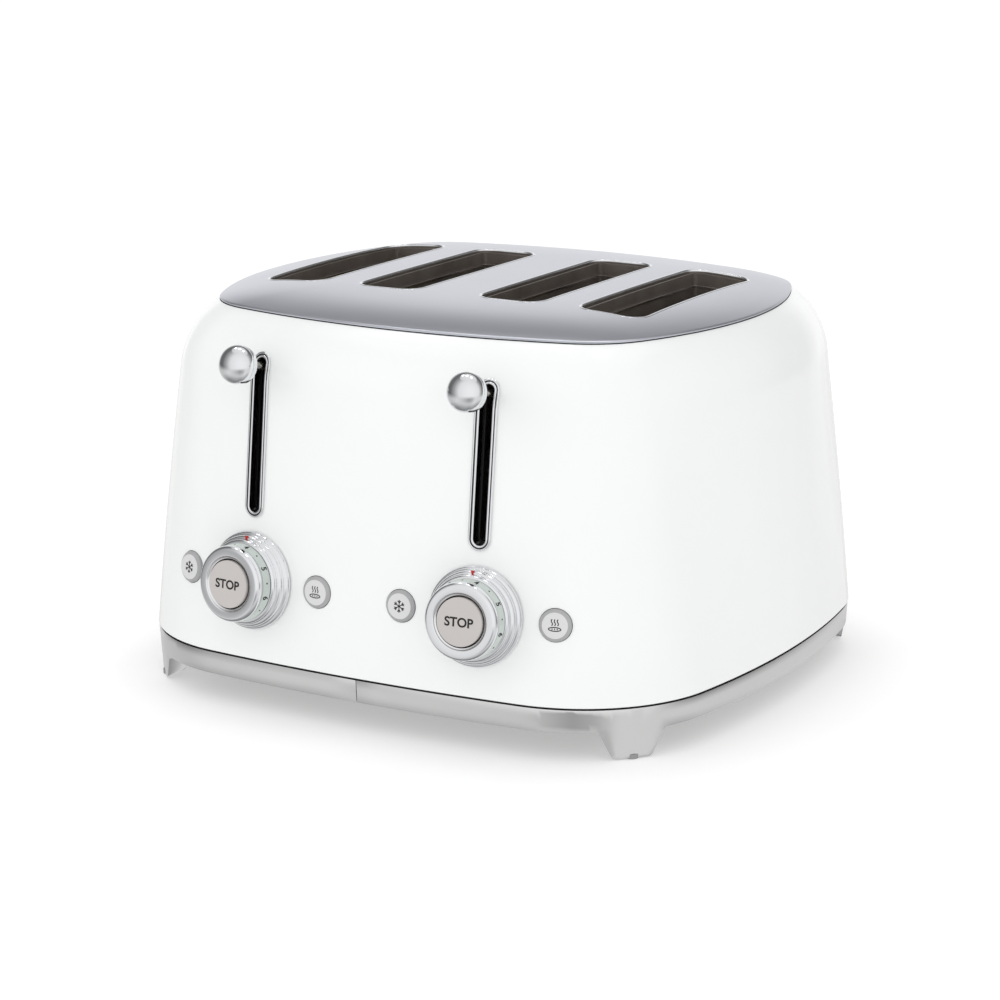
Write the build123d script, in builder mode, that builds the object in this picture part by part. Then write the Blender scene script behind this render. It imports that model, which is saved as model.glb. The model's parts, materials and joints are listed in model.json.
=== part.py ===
from build123d import *
from math import asin, cos, radians, sin, sqrt, tan
import os

os.makedirs("parts", exist_ok=True)

# Four-slot pop-up toaster, in millimetres. X runs to the right, Y to the back and Z up; the
# controls face -Y. Pieces are drawn about the middle of the casing, and save() moves them so
# that the origin is the middle of the whole footprint, on the surface the toaster stands on.

# ---- casing ----
HALF_W = 170.5          # half width of the casing at its bottom edge
HALF_D = 156.8          # half depth of the casing at its bottom edge
SEAM_Z = 28.0           # bottom edge of the casing
RIM_Z = 203.0           # top edge of the casing
WALL = 1.0              # painted steel sheet
DRAFT_X = 1.54          # degrees, lean of the left and right faces
DRAFT_Y = 4.9           # degrees, lean of the front and back faces
SHOULDER_R = 39.2       # radius of the rolled shoulder
SHOULDER_END = 60.3     # degrees from upright where the shoulder meets the plate
FRONT_BULGE = 1033.0    # plan radius of the front and back faces at the bottom edge
SIDE_BULGE = 519.0      # plan radius of the left and right faces at the bottom edge
CORNER_R = 78.0         # plan radius of the corners at the bottom edge
RIM_FRONT_BULGE = 380.0
RIM_SIDE_BULGE = 200.0
RIM_CORNER_R = 46.0

# ---- top plate ----
PLATE_T = 1.2
PLATE_GAP = 0.6         # seal between casing and plate
DOME_H = 9.2            # height of the plate's crown over its edge
DOME_POWER = 6.0        # flatness of the crown: height falls with this power of the radius
SLOT_INNER_X = 36.6
SLOT_OUTER_X = 95.2
SLOT_W = 37.0
SLOT_LEN = 134.0
SLOT_R = 10.0
LIP_DROP = 5.6          # depth of the folded lip under the crown's top
LINER_INSET = 2.2       # the chute stands this far inside the plate's slot
LINER_T = 0.8
LINER_R = 3.0
LINER_DROP = 1.6        # the chute's edge below the plate's surface

# ---- plinth ----
PLINTH_TOP = 27.0
PLINTH_T = 2.2
BAND_Z = 15.0           # underside of the band between the feet
FOOT_TAPER = 2.0        # how far the plinth leans in over its height
FOOT_IN_X = 130.0       # where the front cut-out starts to turn down into a foot
FOOT_IN_Y = 112.0
FOOT_RUN = 5.5          # sideways run of the foot's sloping edge
FOOT_TOP_R = 7.0
FOOT_TOE_R = 4.0
FOOT_PROUD = 0.6        # how far the rubber pads stand out below the feet
PAD_R = 3.5
FOOT_BLOCK_X = 120.0    # the feet are solid outside this line
FOOT_BLOCK_Y = 104.0
PAD_X = 141.0
PAD_Y = 123.2
PLINTH_SPLIT = 0.3      # gap at the joint between the two plinth halves

# ---- floor pan, trays and cord gear ----
PAN_T = 1.5
PAN_Z = 25.0
BOSS_R = 5.0
BOSS_X = 130.0
BOSS_Y = 113.0
SCREW_R = 2.0
SCREW_HEAD_R = 3.8
VENTS = 6               # cooling slots in the floor pan, each side
VENT_PITCH = 14.0
VENT_LEN = 30.0
VENT_W = 4.0
VENT_Y = -110.0
WINDER_LEN = 190.0
WINDER_W = 70.0
WINDER_LIP = 18.0
WINDER_Z = 8.0
WINDER_T = 2.0
TRAY_HALF_W = 52.0
TRAY_H = 14.0
TRAY_T = 1.0
TRAY_FRONT_H = 20.0
TRAY_PULL = 9.0
TRAY_TRAVEL = 150.0
CORD_R = 3.6
GLAND_R = 10.0          # round flange of the gland on the casing's back
GLAND_Z = 44.0
GLAND_NECK = 13.0       # square neck that keeps the gland from turning
GLAND_NECK_R = 2.0
GLAND_REACH = 9.0       # how far the gland stands out of the casing, and into it

# ---- controls on the front face ----
CONTROL_X = 67.1        # lever and dial, left and right of the middle
DIAL_Z = 69.2
BUTTON_PITCH = 42.0     # button to dial
BUTTON_R = 8.3
BUTTON_FACE_R = 6.5
BUTTON_PROUD = 1.8
BUTTON_TRAVEL = 1.2
TRACK_LOW = 102.0       # lever track trim, bottom and top
TRACK_HIGH = 187.0
TRACK_W = 12.0
TRACK_SLOT_W = 6.4
TRACK_PROUD = 1.2
BEZEL_R = 25.75
BEZEL_H = 9.4
BEZEL_BORE = 15.0
DIAL_R = 19.9
DIAL_H = 19.2
STOP_R = 12.4
STOP_TRAVEL = 1.5
LEVER_TRAVEL = 70.0
LEVER_R = 2.2
LEVER_TILT = 12.0       # degrees, how far the arm rises towards its knob
KNOB_Z = 184.4          # middle of the domed knob, lever up
KNOB_R = 10.1
KNOB_DOME = 7.4         # how far the dome stands out of its rim
KNOB_SKIRT = 4.0
KNOB_REACH = 23.5       # rim of the knob in front of the casing

# ---- inside ----
FRAME_Y = 71.0          # inner face of the chamber's end frames
SHEET = 1.0
FRAME_HALF_W = 127.0
FRAME_TOP = 196.0
ROD_TOP = FRAME_TOP - 1.5
CARD_OFF = 20.5         # heater card to the middle of its slot
CARD_LOW = 58.0
CARD_HIGH = 194.0
GUARD_OFF = 15.5        # open guard to the middle of its slot
GUARD_TRAVEL = 4.5
GUARD_R = 1.0
GUARD_LOW = 60.0
GUARD_HIGH = 190.0
GUARD_BARS = 7
GUARD_WIRES = (92.0, 125.0, 158.0)
LIFT_Z = 132.0          # top edge of the bread lift's beam, lever up
LIFT_H = 6.0
LIFT_T = 2.0
LIFT_HALF_W = 6.5
LIFT_RUNGS = 7
HUB_Z = 124.0           # underside of the carriage, lever up
HUB_H = 10.0
HUB_HALF = 7.5
CARRIAGE_T = 2.0
BEAM_GAP = 7.0          # carriage's cross plate in front of the front frame
SPRING_OFF = 16.0       # return spring beside the guide rod
SPRING_R = 3.4
ROD_Y = -91.5
ROD_R = 2.5
ROD_FIT = 0.05
MAGNET_TOP = 74.2
ARMATURE_GAP = 0.3
MAGNET_REACH = 11.0     # middle of the magnet in front of the carriage's plate
BOARD_DEPTH = 26.0      # control board behind the front face
BOARD_LEN = 104.0
BOARD_H = 30.0
BOARD_T = 1.6
ENCODER_W = 24.0
ENCODER_BACK = 20.0     # back of the encoder behind the front face
SPINDLE_R = 5.35
CLEAR = 0.3             # air between pieces that move past each other
SEAT = 0.1              # film between the casing's curved face and what is bolted on it

SLOT_XS = (-SLOT_OUTER_X, -SLOT_INNER_X, SLOT_INNER_X, SLOT_OUTER_X)
SIDES = {"left": -1, "right": 1}

# ---- sizes that follow from the ones above ----
TRACK_SLEEVE_W = TRACK_W - 3.0
TRACK_HOLE_W = TRACK_SLEEVE_W + 0.4
SPIGOT_R = BEZEL_BORE + 1.5
TRAY_WINDOW = TRAY_HALF_W + 2.0
TRAY_X = (SLOT_INNER_X + SLOT_OUTER_X) / 2
TRAY_Z = SEAM_Z + 0.6
REAR_REACH = 2 * HALF_D
LIP_END = RIM_Z + PLATE_GAP + DOME_H - LIP_DROP
PAN_TOP = PAN_Z + PAN_T
TRAY_BACK = -FRAME_Y + 2
PLATE_FACE_Y = ROD_Y - HUB_HALF - CARRIAGE_T
CARRIAGE_TOP = KNOB_Z + 2


# ---- casing form ----
def level(z, grow=0.0):
    """Half width, half depth, the three plan radii and the mean lean (degrees) at height z."""
    insets = []
    leans = []
    for draft in (radians(DRAFT_X), radians(DRAFT_Y)):
        turn_z = RIM_Z - SHOULDER_R * (sin(radians(SHOULDER_END)) - sin(draft))
        if z <= turn_z:
            insets.append(tan(draft) * (z - SEAM_Z))
            leans.append(draft)
        else:
            lean = asin(min(0.999, (z - turn_z) / SHOULDER_R + sin(draft)))
            insets.append(tan(draft) * (turn_z - SEAM_Z) + SHOULDER_R * (cos(draft) - cos(lean)))
            leans.append(lean)
    t = max(0.0, (z - SEAM_Z) / (RIM_Z - SEAM_Z))
    front = 1 / ((1 - t) / FRONT_BULGE + t / RIM_FRONT_BULGE)
    side = 1 / ((1 - t) / SIDE_BULGE + t / RIM_SIDE_BULGE)
    corner = CORNER_R + (RIM_CORNER_R - CORNER_R) * t
    half_w = HALF_W - insets[0] + grow * cos(leans[0])
    half_d = HALF_D - insets[1] + grow * cos(leans[1])
    return half_w, half_d, front + grow, side + grow, corner + grow, sum(leans) / 2


def corner_centre(half_w, half_d, front, side, corner):
    """Centre of the corner arc that touches the front arc and the side arc inside."""
    px, py = 0.0, half_d - front
    qx, qy = half_w - side, 0.0
    gap = sqrt((qx - px) ** 2 + (qy - py) ** 2)
    ux, uy = (qx - px) / gap, (qy - py) / gap
    along = ((front - corner) ** 2 - (side - corner) ** 2 + gap ** 2) / (2 * gap)
    off = sqrt(max((front - corner) ** 2 - along ** 2, 0.0))
    return px + along * ux + off * uy, py + along * uy - off * ux


def outline(z, grow=0.0, scale=1.0, height=None):
    """Plan outline of the casing at height z as a face: four long arcs and four corners."""
    half_w, half_d, front, side, corner, lean = level(z, grow)
    cx, cy = corner_centre(half_w, half_d, front, side, corner)
    fx = cx * front / (front - corner)
    fy = half_d - front + (cy - half_d + front) * front / (front - corner)
    sx = half_w - side + (cx - half_w + side) * side / (side - corner)
    sy = cy * side / (side - corner)
    mx, my = (fx + sx) / 2 - cx, (fy + sy) / 2 - cy
    reach = corner / sqrt(mx ** 2 + my ** 2)
    dx, dy = cx + mx * reach, cy + my * reach
    top = z + grow * sin(lean) if height is None else height
    with BuildSketch(Plane.XY.offset(top)) as sketch:
        with BuildLine():
            for signs in ((1, -1), (1, 1), (-1, 1), (-1, -1)):
                u, v = signs[0] * scale, signs[1] * scale
                if u * v < 0:
                    ThreePointArc((u * fx, v * fy), (u * dx, v * dy), (u * sx, v * sy))
                    ThreePointArc((u * sx, v * sy), (u * half_w, 0), (u * sx, -v * sy))
                else:
                    ThreePointArc((u * sx, v * sy), (u * dx, v * dy), (u * fx, v * fy))
                    ThreePointArc((u * fx, v * fy), (0, v * half_d), (-u * fx, v * fy))
        make_face()
    return sketch.sketch


def body_solid(grow=0.0, low=SEAM_Z, high=RIM_Z):
    """The casing's form grown or shrunk along its normal, as one solid."""
    turn = RIM_Z - SHOULDER_R * (sin(radians(SHOULDER_END)) - sin(radians(DRAFT_X)))
    steps = [turn + (high - turn) * part for part in (0.0, 0.2, 0.4, 0.6, 0.78, 0.91, 1.0)]
    with BuildPart() as solid:
        loft([outline(low, grow), outline(turn, grow)])
        loft([outline(z, grow) for z in steps])
    return solid.part


def face_y(x, z):
    """Y of the front face at x and z."""
    half_w, half_d, front, side, corner, lean = level(z)
    cx, cy = corner_centre(half_w, half_d, front, side, corner)
    if abs(x) <= cx * front / (front - corner):
        return -(half_d - front + sqrt(front ** 2 - x ** 2))
    return -(cy + sqrt(corner ** 2 - (abs(x) - cx) ** 2))


def face_plane(x, z):
    """Work plane on the front face at x and z, its normal pointing out of the casing."""
    step = 0.5
    slope_x = (face_y(x + step, z) - face_y(x - step, z)) / (2 * step)
    slope_z = (face_y(x, z + step) - face_y(x, z - step)) / (2 * step)
    return Plane(origin=(x, face_y(x, z), z), x_dir=(1, slope_x, 0), z_dir=(slope_x, -1, slope_z))


KNOB_Y = face_y(CONTROL_X, KNOB_Z) - KNOB_REACH
KNOB_BALL = (KNOB_R ** 2 + KNOB_DOME ** 2) / (2 * KNOB_DOME)
KNOB_FRONT = KNOB_BALL - (KNOB_BALL - KNOB_DOME) * cos(radians(LEVER_TILT))
TRAY_FRONT_Y = -face_y(SLOT_INNER_X, SEAM_Z)
ORIGIN_Y = (KNOB_FRONT - KNOB_Y - TRAY_FRONT_Y - TRAY_PULL) / 2


def save(builder, label):
    """Label a finished sub-part, move it to the toaster's own origin and write it."""
    piece = builder.part.moved(Location((0, ORIGIN_Y, 0)))
    piece.label = label
    export_step(piece, f"parts/{label}.step")
    print(label, len(piece.solids()), round(piece.volume))


# ---- outer pieces ----
def add_ring(outer, inner, low, high, mode=Mode.ADD):
    """Upright band between two plan outlines (grow values) of the casing's bottom edge."""
    with BuildSketch(Plane.XY.offset(low)) as band:
        add(outline(SEAM_Z, outer, height=low))
        add(outline(SEAM_Z, inner, height=low), mode=Mode.SUBTRACT)
    extrude(band.sketch, amount=high - low, mode=mode)


def add_box(low, high, mode=Mode.ADD):
    """Axis-aligned block between two opposite corners."""
    size = [b - a for a, b in zip(low, high)]
    middle = tuple((a + b) / 2 for a, b in zip(low, high))
    with Locations(middle):
        Box(*size, mode=mode)


def add_rod(plane, radius, length, bore=0.0, mode=Mode.ADD):
    """Round bar, or tube where bore is given, starting on a plane and running along its normal."""
    with BuildSketch(plane) as section:
        Circle(radius)
        if bore:
            Circle(bore, mode=Mode.SUBTRACT)
    extrude(section.sketch, amount=length, mode=mode)


def track_blank(x, width, length_change=0.0):
    """Long rounded bar that passes through the front face at a lever track."""
    length = TRACK_HIGH - TRACK_LOW + length_change
    with BuildPart() as blank:
        with BuildSketch(Plane.XZ):
            with Locations((x, (TRACK_LOW + TRACK_HIGH) / 2)):
                SlotOverall(length, width, rotation=90)
        extrude(amount=2 * HALF_D)
    return blank.part


def gland_plane():
    """Work plane on the back face at the cord gland, its normal pointing out."""
    front = face_plane(0, GLAND_Z)
    return Plane(origin=(0, -front.origin.Y, GLAND_Z), x_dir=(-1, 0, 0),
                 z_dir=(0, -front.z_dir.Y, front.z_dir.Z))


def body_shell():
    """Rolled steel casing with the holes for levers, dials, buttons, trays and cord gland."""
    with BuildPart() as shell:
        add(body_solid())
        add(body_solid(-WALL, low=SEAM_Z - 5, high=RIM_Z), mode=Mode.SUBTRACT)
        with BuildSketch(Plane.XY.offset(RIM_Z - 4)):
            add(outline(RIM_Z, -2.0, height=RIM_Z - 4))
        extrude(amount=10, mode=Mode.SUBTRACT)
        for side in SIDES.values():
            x = side * CONTROL_X
            add(track_blank(x, TRACK_HOLE_W, TRACK_HOLE_W - TRACK_W), mode=Mode.SUBTRACT)
            add_rod(face_plane(x, DIAL_Z).offset(-8), SPIGOT_R + 0.2, 16, mode=Mode.SUBTRACT)
            for shift in (-BUTTON_PITCH, BUTTON_PITCH):
                hole = face_plane(x + shift, DIAL_Z).offset(-8)
                add_rod(hole, BUTTON_R + CLEAR, 16, mode=Mode.SUBTRACT)
            window = side * TRAY_X
            add_box((window - TRAY_WINDOW, 0, SEAM_Z - 1),
                    (window + TRAY_WINDOW, REAR_REACH, TRAY_Z + TRAY_FRONT_H + 0.4), Mode.SUBTRACT)
        with BuildSketch(gland_plane().offset(-GLAND_REACH)) as hole:
            RectangleRounded(GLAND_NECK + 2 * SEAT, GLAND_NECK + 2 * SEAT, GLAND_NECK_R)
        extrude(hole.sketch, amount=2 * GLAND_REACH, mode=Mode.SUBTRACT)
    save(shell, "body_shell")


def crown(drop=0.0, grow=0.0):
    """Domed form of the top plate: a short upright edge with a flat-topped crown above it."""
    edge = RIM_Z + PLATE_GAP
    shrink = (1.0, 0.99, 0.975, 0.955, 0.93, 0.9, 0.86, 0.81, 0.75, 0.66, 0.55)
    with BuildPart() as dome:
        with BuildSketch(Plane.XY.offset(edge - drop)):
            add(outline(RIM_Z, grow, height=edge - drop))
        extrude(amount=1.0)
        levels = []
        for share in shrink:
            height = edge + 1.0 - drop + (DOME_H - 1.0) * (1 - share ** DOME_POWER)
            levels.append(outline(RIM_Z, grow, scale=share, height=height))
        loft(levels)
    return dome.part


def top_plate():
    """Brushed steel plate, pressed to a flat crown, with a folded lip round each bread slot."""
    with BuildPart() as lips:
        for x in SLOT_XS:
            with BuildSketch(Plane.XY.offset(RIM_Z)):
                with Locations((x, 0)):
                    RectangleRounded(SLOT_W + 2 * PLATE_T, SLOT_LEN + 2 * PLATE_T, SLOT_R + PLATE_T)
            extrude(amount=DOME_H + 5)
        add(crown(), mode=Mode.INTERSECT)
        add_box((-HALF_W, -HALF_D, 0), (HALF_W, HALF_D, LIP_END), Mode.SUBTRACT)
    with BuildPart() as plate:
        add(crown())
        add(crown(drop=PLATE_T, grow=-PLATE_T), mode=Mode.SUBTRACT)
        add(lips.part)
        for x in SLOT_XS:
            with BuildSketch(Plane.XY.offset(RIM_Z - 10)):
                with Locations((x, 0)):
                    RectangleRounded(SLOT_W, SLOT_LEN, SLOT_R)
            extrude(amount=DOME_H + 20, mode=Mode.SUBTRACT)
    save(plate, "top_plate")
    with BuildPart() as seal:
        with BuildSketch(Plane.XY.offset(RIM_Z)):
            add(outline(RIM_Z, -0.6, height=RIM_Z))
            add(outline(RIM_Z, -1.8, height=RIM_Z), mode=Mode.SUBTRACT)
        extrude(amount=PLATE_GAP)
    save(seal, "plate_seal")


def slot_liners():
    """Bright-edged sheet chutes that stand inside the slots and lead bread into the chamber."""
    top = RIM_Z + PLATE_GAP + DOME_H
    with BuildPart() as cap:
        add_box((-HALF_W, -HALF_D, RIM_Z), (HALF_W, HALF_D, top + 1))
        add(crown(drop=LINER_DROP), mode=Mode.SUBTRACT)
        with BuildSketch(Plane.XY.offset(RIM_Z)):
            add(outline(RIM_Z, -PLATE_T, height=RIM_Z))
        extrude(amount=PLATE_GAP, mode=Mode.SUBTRACT)
    with BuildPart() as liners:
        for x in SLOT_XS:
            width = SLOT_W - 2 * LINER_INSET
            length = SLOT_LEN - 2 * LINER_INSET
            with BuildSketch(Plane.XY.offset(FRAME_TOP)):
                with Locations((x, 0)):
                    RectangleRounded(width, length, LINER_R)
                    RectangleRounded(width - 2 * LINER_T, length - 2 * LINER_T,
                                     LINER_R - LINER_T, mode=Mode.SUBTRACT)
            extrude(amount=top - FRAME_TOP)
        add(cap.part, mode=Mode.SUBTRACT)
    save(liners, "slot_liners")


def foot_cut(inner, plane):
    """Opening below the plinth's band, flared down to a foot at each end, as a long bar."""
    outer = inner + FOOT_RUN
    with BuildPart() as cut:
        with BuildSketch(plane) as profile:
            with BuildLine():
                Polyline((-inner, BAND_Z), (inner, BAND_Z), (outer, 0), (outer + 12, 0),
                         (outer + 12, -6), (-outer - 12, -6), (-outer - 12, 0), (-outer, 0),
                         (-inner, BAND_Z))
            make_face()
            bends = profile.vertices()
            tops = [v for v in bends if abs(v.Z - BAND_Z) < 0.01]
            toes = [v for v in bends if abs(v.Z) < 0.01 and max(abs(v.X), abs(v.Y)) < outer + 1]
            fillet(tops, FOOT_TOP_R)
            fillet(toes, FOOT_TOE_R)
        extrude(amount=2 * HALF_W, both=True)
    return cut.part


def plinth():
    """Chromed plinth in two halves that meet at the middle of the front and the back."""
    with BuildPart() as whole:
        loft([outline(SEAM_Z, -FOOT_TAPER, height=FOOT_PROUD),
              outline(SEAM_Z, -0.3, height=PLINTH_TOP)])
        with BuildPart(mode=Mode.PRIVATE) as pocket:
            with BuildSketch(Plane.XY.offset(-1)):
                add(outline(SEAM_Z, -FOOT_TAPER - PLINTH_T, height=-1))
            extrude(amount=PLINTH_TOP + 2)
            for u in (-1, 1):
                for v in (-1, 1):
                    low = (u * FOOT_BLOCK_X, v * FOOT_BLOCK_Y, -2)
                    high = (u * HALF_W, v * HALF_D, BAND_Z + 2)
                    corners = list(zip(*(sorted(pair) for pair in zip(low, high))))
                    add_box(corners[0], corners[1], Mode.SUBTRACT)
        add(pocket.part, mode=Mode.SUBTRACT)
        for u in (-1, 1):
            for v in (-1, 1):
                boss = Plane((u * BOSS_X, v * BOSS_Y, BAND_Z))
                add_rod(boss, BOSS_R, PAN_Z - BAND_Z)
        add(foot_cut(FOOT_IN_X, Plane.XZ), mode=Mode.SUBTRACT)
        add(foot_cut(FOOT_IN_Y, Plane.YZ), mode=Mode.SUBTRACT)
        for u in (-1, 1):
            for v in (-1, 1):
                pad = Plane((u * PAD_X, v * PAD_Y, FOOT_PROUD))
                add_rod(pad, PAD_R + 0.1, 2.0, mode=Mode.SUBTRACT)
                hole = Plane((u * BOSS_X, v * BOSS_Y, PAN_Z))
                add_rod(hole.offset(-8), SCREW_R + 0.1, 9, mode=Mode.SUBTRACT)
    for label, side in SIDES.items():
        with BuildPart() as half:
            add(whole.part)
            edge = side * PLINTH_SPLIT / 2
            far = side * 2 * HALF_W
            add_box((min(edge, far), -2 * HALF_D, -5), (max(edge, far), 2 * HALF_D, 60),
                    Mode.INTERSECT)
        save(half, f"plinth_{label}")
    with BuildPart() as pads:
        for u in (-1, 1):
            for v in (-1, 1):
                add_rod(Plane((u * PAD_X, v * PAD_Y, 0)), PAD_R, FOOT_PROUD + 2.0)
        fillet(pads.edges().group_by(Axis.Z)[0], 0.4)
    save(pads, "foot_pads")
    with BuildPart() as gasket:
        add_ring(-1.6, -4.6, PLINTH_TOP, SEAM_Z)
        for side in SIDES.values():
            window = side * TRAY_X
            add_box((window - TRAY_WINDOW, 0, 0), (window + TRAY_WINDOW, REAR_REACH, 60),
                    Mode.SUBTRACT)
    save(gasket, "plinth_gasket")


def turned(plane, points):
    """Solid turned about a plane's normal from a closed outline of (radius, height) points."""
    with BuildPart() as piece:
        with BuildSketch(Plane.XZ):
            with BuildLine():
                Polyline(*points, points[0])
            make_face()
        revolve(axis=Axis.Z)
    return piece.part.moved(plane.location)


# ---- floor, trays, cord gear ----
def base_pan():
    """Pressed floor pan with tray rails, cooling slots and corner holes for its screws."""
    with BuildPart() as pan:
        with BuildSketch(Plane.XY.offset(PAN_Z)):
            add(outline(SEAM_Z, -FOOT_TAPER - PLINTH_T - 0.4, height=PAN_Z))
        extrude(amount=PAN_T)
        for side in SIDES.values():
            for edge in (-1, 1):
                x = side * TRAY_X + edge * (TRAY_HALF_W - 5)
                add_box((x - 2, TRAY_BACK, PAN_TOP - 0.2), (x + 2, HALF_D - 16, TRAY_Z - 0.3))
        with BuildSketch(Plane.XY.offset(PAN_Z)):
            for side in SIDES.values():
                with Locations((side * TRAY_X, VENT_Y)):
                    with GridLocations(VENT_PITCH, 1, VENTS, 1):
                        SlotOverall(VENT_LEN, VENT_W, rotation=90)
        extrude(amount=PAN_T, mode=Mode.SUBTRACT)
        for u in (-1, 1):
            for v in (-1, 1):
                add_rod(Plane((u * BOSS_X, v * BOSS_Y, PAN_Z - 1)), SCREW_R + 0.1, 5,
                        mode=Mode.SUBTRACT)
    save(pan, "base_pan")
    with BuildPart() as screws:
        for u in (-1, 1):
            for v in (-1, 1):
                x, y = u * BOSS_X, v * BOSS_Y
                add_rod(Plane((x, y, PAN_Z - 7.5)), SCREW_R, PAN_T + 7.6)
                add_rod(Plane((x, y, PAN_TOP)), SCREW_HEAD_R, 2.2)
                add_box((x - 3, y - 0.4, PAN_TOP + 1.2), (x + 3, y + 0.4, PAN_TOP + 3), Mode.SUBTRACT)
                add_box((x - 0.4, y - 3, PAN_TOP + 1.2), (x + 0.4, y + 3, PAN_TOP + 3), Mode.SUBTRACT)
    save(screws, "pan_screws")


def cord_gear():
    """Cord winder under the floor pan, and the cord's gland in the back of the casing."""
    with BuildPart() as winder:
        core_len = WINDER_LEN - 2 * WINDER_LIP
        core_w = WINDER_W - 2 * WINDER_LIP
        hollow = (core_len - 2 * WINDER_T, core_w - 2 * WINDER_T)
        with BuildSketch(Plane.XY.offset(WINDER_Z)):
            SlotOverall(WINDER_LEN, WINDER_W)
            SlotOverall(*hollow, mode=Mode.SUBTRACT)
        extrude(amount=WINDER_T)
        with BuildSketch(Plane.XY.offset(WINDER_Z + WINDER_T)):
            SlotOverall(core_len, core_w)
            SlotOverall(*hollow, mode=Mode.SUBTRACT)
        extrude(amount=PAN_Z - WINDER_Z - WINDER_T)
    save(winder, "cord_winder")
    with BuildPart() as gland:
        with BuildSketch(gland_plane().offset(-GLAND_REACH)) as neck:
            RectangleRounded(GLAND_NECK, GLAND_NECK, GLAND_NECK_R)
        extrude(neck.sketch, amount=GLAND_REACH + 1)
        add(turned(gland_plane(), [
            (0, SEAT), (GLAND_R, SEAT), (GLAND_R, 2.2), (GLAND_R - 4, GLAND_REACH),
            (0, GLAND_REACH)]))
        add_rod(gland_plane().offset(-GLAND_REACH - 1), CORD_R, 2 * GLAND_REACH + 2,
                mode=Mode.SUBTRACT)
    save(gland, "cord_gland")


def crumb_tray(label):
    """Crumb tray that slides out to the back, with a front that follows the casing."""
    x = SIDES[label] * TRAY_X
    low, high = x - TRAY_HALF_W, x + TRAY_HALF_W
    back = HALF_D - 18
    with BuildPart() as tray:
        add_box((low, TRAY_BACK, TRAY_Z), (high, back, TRAY_Z + TRAY_H))
        add_box((low + TRAY_T, TRAY_BACK + TRAY_T, TRAY_Z + TRAY_T),
                (high - TRAY_T, back - TRAY_T, TRAY_Z + 50), Mode.SUBTRACT)
    save(tray, f"crumb_tray_{label}")
    edge = TRAY_HALF_W + 1.5
    with BuildPart() as front:
        add(body_solid(0.6))
        add(body_solid(-2.4, low=SEAM_Z - 5), mode=Mode.SUBTRACT)
        add_box((x - edge, 0, TRAY_Z), (x + edge, REAR_REACH, TRAY_Z + TRAY_FRONT_H), Mode.INTERSECT)
        add_box((x - 20, back, TRAY_Z + 4), (x + 20, HALF_D - 3, TRAY_Z + 6))
        add_box((x - 22, HALF_D - 8, TRAY_Z + 8),
                (x + 22, TRAY_FRONT_Y + TRAY_PULL, TRAY_Z + 11))
        pull = front.edges().filter_by(Axis.Z).group_by(Axis.Y)[-1]
        fillet(pull, 3)
    save(front, f"tray_front_{label}")


# ---- chamber ----
def end_frame(label, sign):
    """Upright end wall of the toasting chamber with the lift slots and guard slots."""
    low = PAN_TOP
    with BuildPart() as frame:
        plane = Plane.XZ.offset(FRAME_Y) if sign < 0 else Plane.XZ.offset(-FRAME_Y - SHEET)
        with BuildSketch(plane):
            with Locations((0, (low + FRAME_TOP) / 2)):
                Rectangle(2 * FRAME_HALF_W, FRAME_TOP - low)
            bottom = LIFT_Z - LIFT_H - LEVER_TRAVEL - 1.5
            top = LIFT_Z + 2
            for x in SLOT_XS:
                with Locations((x, (bottom + top) / 2)):
                    Rectangle(LIFT_T + 1.6, top - bottom, mode=Mode.SUBTRACT)
                for edge in (-1, 1):
                    middle = x + edge * (GUARD_OFF - GUARD_TRAVEL / 2)
                    with Locations((middle, GUARD_LOW), (middle, GUARD_HIGH)):
                        SlotOverall(GUARD_TRAVEL + 2 * GUARD_R + 1, 2 * GUARD_R + 0.8,
                                    mode=Mode.SUBTRACT)
            if sign > 0:
                for side in SIDES.values():
                    with Locations((side * TRAY_X, low)):
                        Rectangle(2 * TRAY_WINDOW, 2 * (TRAY_Z + TRAY_H + 1 - low), mode=Mode.SUBTRACT)
        extrude(amount=SHEET)
        if sign < 0:
            for side in SIDES.values():
                x = side * CONTROL_X
                add_box((x - 10, ROD_Y - 6, ROD_TOP), (x + SPRING_OFF + 6, -FRAME_Y, FRAME_TOP))
    save(frame, f"{label}_frame")


def side_shields():
    """Heat shields that close the chamber left and right, between the end frames."""
    with BuildPart() as shields:
        for side in SIDES.values():
            x = side * (FRAME_HALF_W - 2)
            low, high = min(x, x + side * SHEET), max(x, x + side * SHEET)
            add_box((low, -FRAME_Y, TRAY_Z + TRAY_H + 4), (high, FRAME_Y, FRAME_TOP))
    save(shields, "side_shields")


def side_slots(label):
    """The two bread slots that one lever serves."""
    return [x for x in SLOT_XS if x * SIDES[label] > 0]


def heater_cards(label):
    """Mica heater cards, one each side of both slots, held between the end frames."""
    with BuildPart() as cards:
        for x in side_slots(label):
            for edge in (-1, 1):
                middle = x + edge * CARD_OFF
                add_box((middle - SHEET / 2, -FRAME_Y, CARD_LOW),
                        (middle + SHEET / 2, FRAME_Y, CARD_HIGH))
    save(cards, f"heater_cards_{label}")


def bread_guards(label, edge, name):
    """Wire guards on one side of both slots; they close on the bread as the lever goes down."""
    reach = FRAME_Y + SHEET + 2.5
    half = FRAME_Y - 8
    with BuildPart() as guards:
        for slot in side_slots(label):
            x = slot + edge * GUARD_OFF
            for z in (GUARD_LOW, GUARD_HIGH):
                add_rod(Plane((x, -reach, z), z_dir=(0, 1, 0)), GUARD_R, 2 * reach)
            for z in GUARD_WIRES:
                wire = Plane((x + edge * GUARD_R, -half, z), z_dir=(0, 1, 0))
                add_rod(wire, GUARD_R * 0.7, 2 * half)
            for bar in range(GUARD_BARS):
                y = (bar / (GUARD_BARS - 1) - 0.5) * 2 * (half - 1)
                add_rod(Plane((x, y, GUARD_LOW)), GUARD_R * 0.8, GUARD_HIGH - GUARD_LOW)
    save(guards, f"bread_guards_{label}_{name}")


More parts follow.
